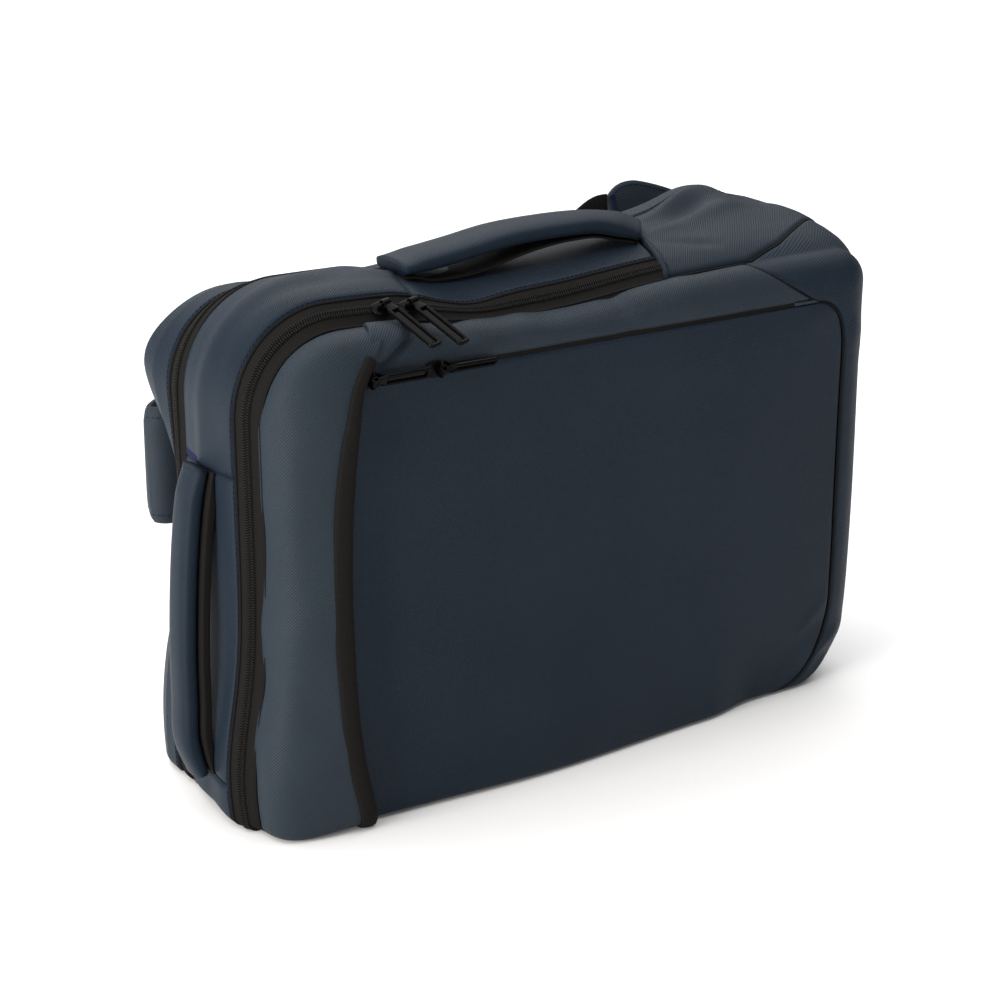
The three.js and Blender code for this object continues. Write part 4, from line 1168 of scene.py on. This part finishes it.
def add_wrap():
    """The piece that covers the zips' right ends and the bag's right end."""
    back_y, end_y = REAR_ZIP_Y[0] - WRAP_GAP["back"], MAIN_ZIP_Y[1] + WRAP_GAP["front"]
    rows = []
    for share in np.linspace(0, 1, WRAP["rows"]):
        y = lerp(back_y, end_y, share)
        inset = wall_inset(y)
        index = np.linspace(wrap_base(y, inset) - RING, wrap_top(y, inset), WRAP["columns"])
        rows.append(wall_points(lerp(back_y, side_seam_y(index) + WRAP_GAP["front"], share), index))
    grid = np.array(rows)
    normals = grid_normals(grid)
    from_edge = edge_distances(grid)[1]
    lift = seam_rolls(grid, ("left", "right"), "wrap_end") + seam_rolls(grid, ("first", "last"), "wrap_side")
    lift += PIPING["height"] * bell((from_edge - PIPING["from_edge"]) / PIPING["radius"])
    lift -= PIPING["groove_depth"] * bell((from_edge - PIPING["groove"]) / PIPING["groove_width"])
    lift += undulation(grid, "wrap") * smooth(from_edge / WAVE_FADE["wrap"])
    lift += crease(grid, WRAP_FOLDS)
    lift = lift + WRAP["lift"] * smooth(grid[..., 2] / WRAP["lift_z"])
    outer = raised(grid, normals, on_floor(grid, lift))
    add_cloth("end_wrap_panel", shell(outer, normals), NAVY)
    from_edge = turned(edge_distances(outer)[1])
    stitch(*line_inside(turned(outer), turned(normals), from_edge, PIPING["groove"]), "blue")


# The back
BACK = {"face_inset": 24.0, "side_inset": 26.0, "rows": 60, "columns": 460, "along": 120, "up": 80}


def add_back_shell():
    """The rounded sides of the back, and the back face inside a seam."""
    side_profile = [row for row in BACK_PROFILE if row[0] <= BACK["side_inset"]]
    bend = resample(np.array(side_profile), np.linspace(0, 1, BACK["rows"]))
    index = np.linspace(0, RING, BACK["columns"])
    grid = np.array([at_depth(ring_at(inset, index), y) for inset, y in bend])[::-1]
    normals = grid_normals(grid)
    lift = seam_rolls(grid, ("first", "last"), "back_side") + undulation(grid, "back_side")
    outer = raised(grid, normals, on_floor(grid, lift))
    sides = shell(outer, normals)
    stitch(*line_inside(outer, normals, edge_distances(outer)[3], STITCH_INSET), "blue")

    half = ARC_STEPS / 2
    ends = (
        (RING + half, BASE_FROM - half), (TOP_FROM - half, LEFT_FROM - half),
        (half, TOP_FROM - half), (BASE_FROM - half, LEFT_FROM - half),
    )
    lines = [ring_at(BACK["face_inset"], np.linspace(a, b, FINE)) for a, b in ends]
    flat = coons(lines, np.linspace(0, 1, BACK["along"]), np.linspace(0, 1, BACK["up"]))
    grid, inward = lift_face(flat, BACK_PROFILE)
    lift = seam_rolls(grid, ("left", "right", "first", "last"), "back_face") + undulation(grid, "back_face")
    face = shell(raised(grid, -inward, lift), -inward, uv=flat)
    add_cloth("back_shell", joined(sides, face), NAVY)


# Handles
HANDLE = {"end_pad": 8.0, "end_share": 0.1, "sewn_in": 3.0, "crown": 1.6, "steps": 110}
# The black underside is real, but its droop below the pad near the top handle's left root is painted shade:
# black that stands in for the shade under the handle
HANDLE_LINING = {"margin": 1.0, "end_thickness": 1.6, "shade_droop_at": 0.72, "shade_droop_reach": 0.24}
TOP_HANDLE = {"width": 34.0, "pad": 11.0, "y": 13.0, "shade_droop": 7.0, "lining": 1.6, "lining_shift": 0.0}
TOP_HANDLE_LINE = (  # x, z, from right to left
    (77, 311.5), (70, 314), (60, 316.6), (38, 320.2), (9, 321), (-26, 319.6), (-55, 315.4), (-78, 312.4),
    (-96, 310.6),
)
# The top handle's right end follows the wrap's seam
END_SLANT = {"slope": 0.65, "from_x": 25.0, "fade_x": 45.0}
# The side handle's black underside is thicker and shifted towards the front so that it fills the gap beside
# the bag: partly the real black underside, partly painted shade of that gap
SIDE_HANDLE = {"width": 22.0, "pad": 10.0, "y": 9.0, "shade_droop": 0.0, "lining": 6.0, "lining_shift": -4.5}
SIDE_HANDLE_LINE = (  # x, z, from the top down
    (-232, 210), (-236, 196), (-239.5, 172), (-242.5, 140), (-244.5, 104), (-245, 72), (-245.4, 50),
    (-242.4, 36), (-240, 29),
)


def slanted(made, y):
    """The handle's points, with what lies at the right drawn along the slant of the wrap's seam."""
    points = made[0].copy()
    share = smooth((points[:, 0] - END_SLANT["from_x"]) / END_SLANT["fade_x"])
    points[:, 0] += END_SLANT["slope"] * share * (points[:, 1] - y)
    return points, made[1], made[2]


def add_handle(name, size, points):
    """A padded strap, crowned outside, with a black underside that faces the bag."""
    line = spline([(x, size["y"], z) for x, z in points], HANDLE["steps"])
    ends = [line[k] + unit(line[k] - line[j]) * HANDLE["sewn_in"] for k, j in ((0, 1), (-1, -2))]
    line = np.concatenate([ends[:1], line, ends[1:]])
    share = np.linspace(0, 1, len(line))
    fullness = smooth(np.minimum(share, 1 - share) / HANDLE["end_share"])
    pad = lerp(HANDLE["end_pad"], size["pad"], fullness)
    sections = rounded_sections(len(line), size["width"], pad, sides=44, square=0.62)
    crown = np.clip(-sections[..., 1:] / pad[:, None, None], 0, 0.5)
    sections[..., 1:] -= HANDLE["crown"] * crown * (1 - (2 * sections[..., :1] / size["width"]) ** 2)
    add_cloth(name, slanted(sweep(line, ALONG_Y, sections), size["y"]), NAVY)
    thickness = lerp(HANDLE_LINING["end_thickness"], size["lining"], fullness)
    lining_width = size["width"] - 2 * HANDLE_LINING["margin"]
    lining = rounded_sections(len(line), lining_width, thickness, sides=28, square=0.3)
    # Painted shade: the underside hangs lower here to fill the shaded space under the handle with black
    shade_droop = bell((share - HANDLE_LINING["shade_droop_at"]) / HANDLE_LINING["shade_droop_reach"])
    shade_droop = size["shade_droop"] * fullness * shade_droop
    lining[..., 1:] += (pad / 2 + thickness / 2 + shade_droop)[:, None, None]
    lining[..., 0] += size["lining_shift"]
    made = slanted(sweep(line, ALONG_Y, lining), size["y"])
    add_piece(f"{name}_underside", made, BLACK_CLOTH)


# Straps
STRAP = {"width": 74.0, "pad": 9.0, "end_width": 46.0, "taper_from": 0.67}
STRAP_LINE = (  # x, y, z of the upper strap's middle
    (-146, 98.6, 184), (-174, 98.6, 184), (-197, 98.2, 184), (-210, 100, 184), (-214, 106, 184),
    (-206, 113, 185), (-178, 119, 190), (-118, 127, 203), (-54, 131, 221), (4, 127, 236), (50, 120, 246),
)
WEBBING = {"width": 25.0, "thickness": 1.6}
WEBBING_LINE = (
    (68, 116.4, 251.2), (75, 115, 253.4), (90, 111.4, 269), (102, 108.6, 289),
    (116, 107.2, 299.4), (124, 107, 300.2),
)
WING_TAB = {"tip_width": 36.0, "root_width": 50.0, "thickness": 5.0, "lean": 0.3}
WING_TAB_LINE = ((125.4, 107, 300.3), (140, 106, 300.6), (160, 102, 293.5), (182, 96, 281))
BUCKLE = {"length": 16.0, "width": 34.0, "thickness": 5.0, "rail": 4.0}
BUCKLE_BARS = ((-0.82, 0.0), (0.05, 0.6), (0.82, -0.4))  # share of half the length, height
BAR_SIZE = (3.0, 3.4)  # width, height
END_SHARES = {"bar": 0.7, "tube": 0.75}  # of the full section, at the ends
STRAP_MIRROR = {"z": 146.0, "lowest": 3.0, "fold_in": 26.0, "fold_x": -214.0, "fold_reach": 250.0}


def strap_line(points, mirrored, half_width):
    p = np.array(points, float)
    if mirrored:
        inward = 1 - smooth((p[:, 0] - STRAP_MIRROR["fold_x"]) / STRAP_MIRROR["fold_reach"])
        p[:, 0] += STRAP_MIRROR["fold_in"] * inward
        p[:, 2] = np.maximum(2 * STRAP_MIRROR["z"] - p[:, 2], half_width + STRAP_MIRROR["lowest"])
    return p


STRAP_SEAM = {"inset": 6.0, "width": 1.6, "depth": 0.12, "edge": 4.0, "edge_depth": 0.3, "height": 0.70}
TAB_SEAM = {"inset": 3.0, "height": 0.86, "tack_at": 4, "tack_reach": 0.4, "tack_points": 20, "tack": 4.0}
TAB_TIP = {"least": 0.55, "share": 0.3}
SWEEP_STEPS = {"strap": 150, "webbing": 60, "tab": 60}
STRAP_ENDS = {"navy": 4, "blue": 3}  # steps without stitches at each end


def edge_stitches(line, across, up, offset, height, colour):
    """Stitches along both edges of a strap, on both faces and clear of its ends."""
    clear = STRAP_ENDS[colour]
    for face in (-1, 1):
        for side in (-1, 1):
            edge = line + across * (side * offset)[:, None] + up * face * height
            stitch(edge[clear:-clear], up[clear:-clear] * face, colour)


def add_shoulder_strap(prefix, points):
    line = spline(points, SWEEP_STEPS["strap"])
    share = np.linspace(0, 1, len(line))
    taper = smooth((share - STRAP["taper_from"]) / (1 - STRAP["taper_from"]))
    widths = lerp(STRAP["width"], STRAP["end_width"], taper)
    sections = rounded_sections(len(line), widths, STRAP["pad"], sides=56, square=0.5)
    from_edge = widths[:, None] / 2 - np.abs(sections[..., 0])
    seam = STRAP_SEAM["depth"] * bell((from_edge - STRAP_SEAM["inset"]) / STRAP_SEAM["width"])
    sections[..., 1] *= 1 - seam - STRAP_SEAM["edge_depth"] * bell(from_edge / STRAP_SEAM["edge"])
    add_cloth(f"{prefix}_shoulder_strap", sweep(line, ALONG_Z, sections), NAVY_PAINTED_LIGHT)
    height = STRAP["pad"] / 2 * STRAP_SEAM["height"]
    edge_stitches(line, *frames_along(line, ALONG_Z), widths / 2 - STRAP_SEAM["inset"], height, "navy")


def add_webbing(prefix, points):
    count = SWEEP_STEPS["webbing"]
    sections = rounded_sections(count, WEBBING["width"], WEBBING["thickness"], sides=24, square=0.3)
    made = sweep(spline(points, count), ALONG_Z, sections)
    add_piece(f"{prefix}_strap_webbing", made, WEBBING_CLOTH)


def add_wing_tab(prefix, points):
    line = spline(points, SWEEP_STEPS["tab"])
    share = np.linspace(0, 1, len(line))
    widths = lerp(WING_TAB["tip_width"], WING_TAB["root_width"], share)
    widths = widths * lerp(TAB_TIP["least"], 1.0, np.sqrt(smooth(share / TAB_TIP["share"])))
    sections = rounded_sections(len(line), widths, WING_TAB["thickness"], sides=44, square=0.6)
    leaning = np.array([0.0, WING_TAB["lean"], 1.0])
    add_cloth(f"{prefix}_wing_tab", sweep(line, leaning, sections), NAVY_PAINTED_LIGHT)
    across, up = frames_along(line, leaning)
    height = WING_TAB["thickness"] / 2 * TAB_SEAM["height"]
    edge_stitches(line, across, up, widths / 2 - TAB_SEAM["inset"], height, "blue")
    at, count = TAB_SEAM["tack_at"], TAB_SEAM["tack_points"]
    reach = np.linspace(-TAB_SEAM["tack_reach"], TAB_SEAM["tack_reach"], count)[:, None]
    for face in (-1, 1):
        end = line[at] + across[at] * reach * widths[at] + up[at] * face * height
        bar_tack(end, np.repeat(up[at:at + 1] * face, count, axis=0), TAB_SEAM["tack"])


def add_strap(prefix, mirrored):
    pad = strap_line(STRAP_LINE, mirrored, STRAP["width"] / 2)
    webbing = strap_line(WEBBING_LINE, mirrored, WEBBING["width"] / 2)
    add_shoulder_strap(prefix, pad)
    add_webbing(prefix, webbing)
    add_wing_tab(prefix, strap_line(WING_TAB_LINE, mirrored, WING_TAB["root_width"] / 2))
    add_buckle(prefix, pad[-1], webbing[0])


def bar(a, b, width, height, hint):
    """A short rounded bar between two points."""
    line = np.linspace(a, b, 9)
    sections = rounded_sections(len(line), width, height, sides=16, square=0.6)
    sections[[0, -1]] *= END_SHARES["bar"]
    return sweep(line, hint, sections)


def add_buckle(prefix, pad_end, webbing_start):
    """A ladder buckle: two rails, and three bars that the webbing passes over and under."""
    along = unit(webbing_start - pad_end)
    middle = (pad_end + webbing_start) / 2
    out = unit(np.cross(along, ALONG_Z))
    wide = unit(np.cross(out, along))
    half = BUCKLE["length"] / 2
    reach = BUCKLE["width"] / 2
    parts = []
    for side in (-1, 1):
        centre = middle + wide * side * (reach - BUCKLE["rail"] / 2)
        ends = centre - along * half, centre + along * half
        parts.append(bar(*ends, BUCKLE["rail"], BUCKLE["thickness"], ALONG_Z))
    for place, lift in BUCKLE_BARS:
        centre = middle + along * half * place + out * lift
        parts.append(bar(centre - wide * (reach - 1), centre + wide * (reach - 1), *BAR_SIZE, along))
    add_piece(f"{prefix}_strap_buckle", joined(*parts), PLASTIC)


# Zip pulls
SLIDER = {"length": 15.0, "width": 9.5, "plate": 2.4, "lift": 0.9}
SHIELD = {"taper": 0.32, "taper_from": 0.1, "round": 0.92, "dome": 0.9}
CROWN = {"height": 6.2, "radius": 0.9, "span": 7.8, "steps": 40}
BRIDGE = ((0.1, 1.4), (0.1, 4.4), (-0.5, 6.1))  # how far past the span, height
PULLER = {"width": 8.6, "thickness": 2.4, "neck_end": 7.0}
BARREL = {"radius": 2.5, "bore": 1.4, "width": 5.4, "thinner": 0.1}
NECK = {"from_eye": 0.2, "overlap": 1.0, "widen_from": 3.5, "widen": 4.0}
RAILS = {"overlap": 0.6, "turn_in": 0.8, "steps": 90}
WEB = {"overlap": 0.5, "sunk": 0.6, "thickness": 1.0}
MAIN_PULLER_LENGTH = 43.0
POCKET_PULLER_LENGTH = 36.0
MAIN_SLIDER_X = {"left": -132.0, "right": -114.0}
MAIN_YAW = math.radians(15.0)
MAIN_PULLER_LIFT = math.radians(11.0)
MAIN_SLIDER = {"y": -32.5, "inset": 5.2}
REAR_SLIDER = {"x": -42.0, "y": 47.0, "lift": 0.5}
POCKET_SLIDER_X = {"left": -157.0, "right": -113.0}
POCKET_SLIDER_Y = -59.6
POCKET_PULLER_TWIST = {"left": math.radians(32.0), "right": math.radians(48.0)}  # loose on their eyes


def moved(made, matrix):
    points = np.c_[made[0], np.ones(len(made[0]))] @ np.array(matrix).T
    return points[:, :3], made[1], made[2]


def round_tube(line, radius, hint):
    sections = rounded_sections(len(line), 2 * radius, 2 * radius, sides=12, square=1.0)
    sections[[0, -1]] *= END_SHARES["tube"]
    return sweep(line, hint, sections)


def slider_made(crown_turn):
    """A zip slider: a rounded shield with a domed top, and the bridge that holds the puller."""
    half = SLIDER["length"] / 2
    share = np.linspace(-1, 1, 25)
    nose = 1 - SHIELD["taper"] * smooth((share - SHIELD["taper_from"]) / (1 - SHIELD["taper_from"]))
    widths = SLIDER["width"] * nose * np.sqrt(1 - SHIELD["round"] * np.abs(share) ** 6)
    middle = np.full(len(share), SLIDER["lift"] + SLIDER["plate"] / 2)
    line = np.stack([share * half, 0 * share, middle], -1)
    heights = SLIDER["plate"] * np.sqrt(1 - SHIELD["dome"] * np.abs(share) ** 8)
    plate = sweep(line, ALONG_Y, rounded_sections(len(line), widths, heights, sides=28, square=0.55))
    reach = CROWN["span"] / 2
    left, right = ([(side * (reach + out), 0, z) for out, z in BRIDGE] for side in (-1, 1))
    bridge = spline([*left, (0, 0, CROWN["height"]), *right[::-1]], CROWN["steps"])
    arch = round_tube(bridge, CROWN["radius"], ALONG_Y)
    return joined(plate, moved(arch, Matrix.Rotation(crown_turn, 4, "Z")))


def puller_made(length):
    """A puller along +X from its eye: two rails round a sunk web, on a tapered neck."""
    turn = np.linspace(0, 2 * np.pi, 33)
    mid = (BARREL["radius"] + BARREL["bore"]) / 2
    wall = BARREL["radius"] - BARREL["bore"] - BARREL["thinner"]
    eye_line = np.stack([mid * np.cos(turn), 0 * turn, mid * np.sin(turn)], -1)
    sections = rounded_sections(len(turn), BARREL["width"], wall, sides=20, square=0.5)
    eye = sweep(eye_line, ALONG_Y, sections)
    neck_x = np.linspace(mid + NECK["from_eye"], PULLER["neck_end"] + NECK["overlap"], 8)
    neck_line = np.stack([neck_x, 0 * neck_x, 0 * neck_x], -1)
    widening = smooth((neck_x - NECK["widen_from"]) / NECK["widen"])
    neck_width = lerp(BARREL["width"], PULLER["width"], widening)
    sections = rounded_sections(len(neck_x), neck_width, PULLER["thickness"], sides=20, square=0.5)
    neck = sweep(neck_line, ALONG_Y, sections)
    rail = PULLER["thickness"] / 2
    side = PULLER["width"] / 2 - rail
    start, end, turn_in = PULLER["neck_end"], length - rail, RAILS["turn_in"]
    sunk_in = start - RAILS["overlap"]
    loop = np.concatenate([
        straight((sunk_in, -side, 0), (end - turn_in, -side, 0))[::20],
        quadratic((end - turn_in, -side, 0), (end, -side, 0), (end, -side + turn_in, 0))[::60],
        straight((end, -side + turn_in, 0), (end, side - turn_in, 0))[::60],
        quadratic((end, side - turn_in, 0), (end, side, 0), (end - turn_in, side, 0))[::60],
        straight((end - turn_in, side, 0), (sunk_in, side, 0))[::20],
    ])
    loop = resample(loop, np.linspace(0, 1, RAILS["steps"]))
    rails = round_tube(loop, rail, ALONG_Z)
    web_x = np.linspace(start - WEB["overlap"], end, 10)
    web_line = np.stack([web_x, 0 * web_x, 0 * web_x - WEB["sunk"]], -1)
    sections = rounded_sections(len(web_x), 2 * side, WEB["thickness"], sides=16, square=0.6)
    web = sweep(web_line, ALONG_Y, sections)
    return joined(eye, neck, rails, web)


def add_pull(name, holder, crown_turn, puller_turn, length):
    slider = moved(slider_made(crown_turn), holder)
    add_piece(name.replace("_pull_", "_slider_"), slider, METAL)
    place = holder @ Matrix.Translation((0, 0, CROWN["height"])) @ puller_turn
    puller = moved(puller_made(length), place)
    add_piece(name.replace("_pull_", "_puller_"), puller, METAL, body=name)


def add_pulls():
    for side, x in MAIN_SLIDER_X.items():
        spot = settle(np.array([x, MAIN_SLIDER["y"], HEIGHT - MAIN_SLIDER["inset"]]))
        edge, low = (settle(np.array([x, y, HEIGHT - wall_inset(y)])) for y in MAIN_ZIP_Y)
        tilt = math.atan2(edge[2] - low[2], edge[1] - low[1])
        turn = Matrix.Rotation(tilt, 4, "X") @ Matrix.Rotation(MAIN_YAW, 4, "Z")
        holder = Matrix.Translation(Vector(spot)) @ turn
        puller_turn = Matrix.Rotation(-math.pi / 2, 4, "Z") @ Matrix.Rotation(-MAIN_PULLER_LIFT, 4, "Y")
        add_pull(f"main_pull_{side}", holder, 0.0, puller_turn, MAIN_PULLER_LENGTH)
    height = POCKET["top"] + (POCKET_ZIP["height"] + PANEL_GAP) / 2
    for side, x in POCKET_SLIDER_X.items():
        holder = Matrix.Translation((x, POCKET_SLIDER_Y, height)) @ Matrix.Rotation(math.pi / 2, 4, "X")
        twist = Matrix.Rotation(POCKET_PULLER_TWIST[side], 4, "X")
        add_pull(f"pocket_pull_{side}", holder, math.pi / 2, twist, POCKET_PULLER_LENGTH)
    spot = settle(np.array([REAR_SLIDER["x"], REAR_SLIDER["y"], HEIGHT - REAR_SLIDER["lift"]]))
    rear = moved(slider_made(0.0), Matrix.Translation(Vector(spot)))
    add_piece("rear_zip_slider", rear, METAL)


# Painted shade in the seams: near-black cords that stand in for the shade in the crevices
SEAM_SHADE_CORD = {"radius": 1.1, "sunk": 1.0, "step": 2.5}


def seam_shade_cord(line, facing):
    """Painted shade: a thin near-black cord that lies in a seam, below the cloth on both sides, standing in
    for the shade in the crevice.
    """
    shares = np.linspace(0, 1, max(6, int(path_lengths(line)[-1] / SEAM_SHADE_CORD["step"])))
    up = unit(resample_like(line, facing, shares))
    middle = resample(line, shares) - up * SEAM_SHADE_CORD["sunk"]
    hint = np.cross(unit(np.gradient(middle, axis=0)), up)
    width = 2 * SEAM_SHADE_CORD["radius"]
    sections = rounded_sections(len(middle), width, width, sides=6, square=1.0)
    threads["dark"].append(sweep(middle, hint, sections))


def wall_seam_shade(ys, index, step):
    """A line of painted seam shade on the bag's side; the sign of the step turns its surface outwards."""
    rows = np.array([wall_points(ys + shift, index) for shift in (-step, 0.0, step)])
    seam_shade_cord(rows[1], grid_normals(rows)[1])


def add_painted_seam_shade():
    for y in (*MAIN_ZIP_Y, REAR_ZIP_Y[0] - WRAP_GAP["back"], REAR_ZIP_Y[1]):
        inset = wall_inset(y)
        wall_seam_shade(np.full(FINE, y), np.linspace(wrap_top(y, inset), wrap_base(y, inset), FINE), -1.0)
    first, last = top_index(SIDE_PANEL_SEAM["x"][0], RIM_INSET), base_index(RIGHT_LOW_X, RIM_INSET) - RING
    index = np.linspace(first, last, FINE)
    wall_seam_shade(np.maximum(side_seam_y(index), MAIN_ZIP_Y[1] + SEAM_CLEAR), index, 1.0)
    wrap_front = straight((seam_x(WRAP_SEAM, MAIN_ZIP_Y[1]), RIM_TOP), (shoulder_x(RIM_TOP), RIM_TOP))
    for flat in (shoulder_line(), pocket_right_edge(RIM_LOW + SEAM_CLEAR), wrap_front):
        seam_shade_cord(*lift_face(flat, FRONT_PROFILE))


# Camera, light and floor
CAMERA = {"azimuth": -33.265, "elevation": 19.147, "distance": 1363.151, "focal_px": 2216.628}
TARGET = (-31.824, 0.0, 157.192)
FRAME_PX = 1000.0
SENSOR = 36.0
FLOOR_REACH_OUT = 9000.0


def add_camera():
    a, e = math.radians(CAMERA["azimuth"]), math.radians(CAMERA["elevation"])
    back = Vector((math.sin(a) * math.cos(e), -math.cos(a) * math.cos(e), math.sin(e)))
    right = Vector((math.cos(a), math.sin(a), 0.0))
    data = bpy.data.cameras.new("camera")
    data.sensor_width = SENSOR
    data.lens = CAMERA["focal_px"] / FRAME_PX * SENSOR
    data.clip_end = 50.0
    camera = bpy.data.objects.new("camera", data)
    turn = Matrix((right, back.cross(right), back)).transposed().to_4x4()
    place = (Vector(TARGET) + back * CAMERA["distance"]) * MM
    camera.matrix_world = Matrix.Translation(place) @ turn
    bpy.context.scene.collection.objects.link(camera)
    bpy.context.scene.camera = camera


def add_softbox(name, place, aim, size, energy, colour=(1.0, 1.0, 1.0)):
    data = bpy.data.lights.new(name, "AREA")
    data.shape = "RECTANGLE"
    data.size, data.size_y = size
    data.energy = energy
    data.color = colour
    light = bpy.data.objects.new(name, data)
    away = Vector(place) - Vector(aim)
    turn = away.to_track_quat("Z", "Y").to_matrix().to_4x4()
    light.matrix_world = Matrix.Translation(Vector(place)) @ turn
    bpy.context.scene.collection.objects.link(light)


def add_studio():
    world = bpy.data.worlds.new("studio")
    world.use_nodes = True
    sky = world.node_tree.nodes["Background"]
    connect(world.node_tree, sky, {"Color": (1.0, 1.0, 1.0, 1.0), "Strength": 0.22})
    bpy.context.scene.world = world
    bpy.context.scene.view_settings.view_transform = "Standard"
    centre = (0.0, 0.0, 0.15)
    add_softbox("overhead", (-0.5, 2.8, 3.4), (-0.5, 2.5, 0.0), (9.0, 10.0), 650.0)
    add_softbox("left", (-2.4, -0.4, 0.6), centre, (1.2, 1.2), 82.0, (1.0, 0.95, 0.9))
    add_softbox("front", (-0.32, -2.1, 0.36), centre, (0.8, 0.6), 11.0)
    material, tree, shader = new_material("pale_floor")
    connect(tree, shader, {
        "Base Color": mixed(tree, noise(tree, "floor"), (0.78, 0.78, 0.78), (0.81, 0.81, 0.81)),
        "Roughness": 0.9,
        "Specular IOR Level": 0.1,
    })
    far = FLOOR_REACH_OUT
    corners = np.array([(-far, -far, 0), (far, -far, 0), (far, far, 0), (-far, far, 0)], float)
    floor = make_object("floor", corners, [np.array([[0, 1, 2, 3]])], material)


def add_threads():
    for colour, material in THREADS.items():
        # The dark entry is painted seam shade, though its piece is named dark_stitching
        add_piece(f"{colour}_stitching", joined(*threads[colour]), material, own_node=False)


add_camera()
add_studio()
add_left_panel()
add_binding()
add_pocket_panel()
add_upper_panel()
add_right_panel()
add_ring_zip("main_zip", MAIN_ZIP_Y)
add_ring_zip("rear_zip", REAR_ZIP_Y)
add_pocket_zip()
add_gussets()
add_wrap()
add_back_shell()
add_handle("top_handle", TOP_HANDLE, TOP_HANDLE_LINE)
add_handle("side_handle", SIDE_HANDLE, SIDE_HANDLE_LINE)
add_strap("upper", False)
add_strap("lower", True)
add_pulls()
add_painted_seam_shade()
add_threads()
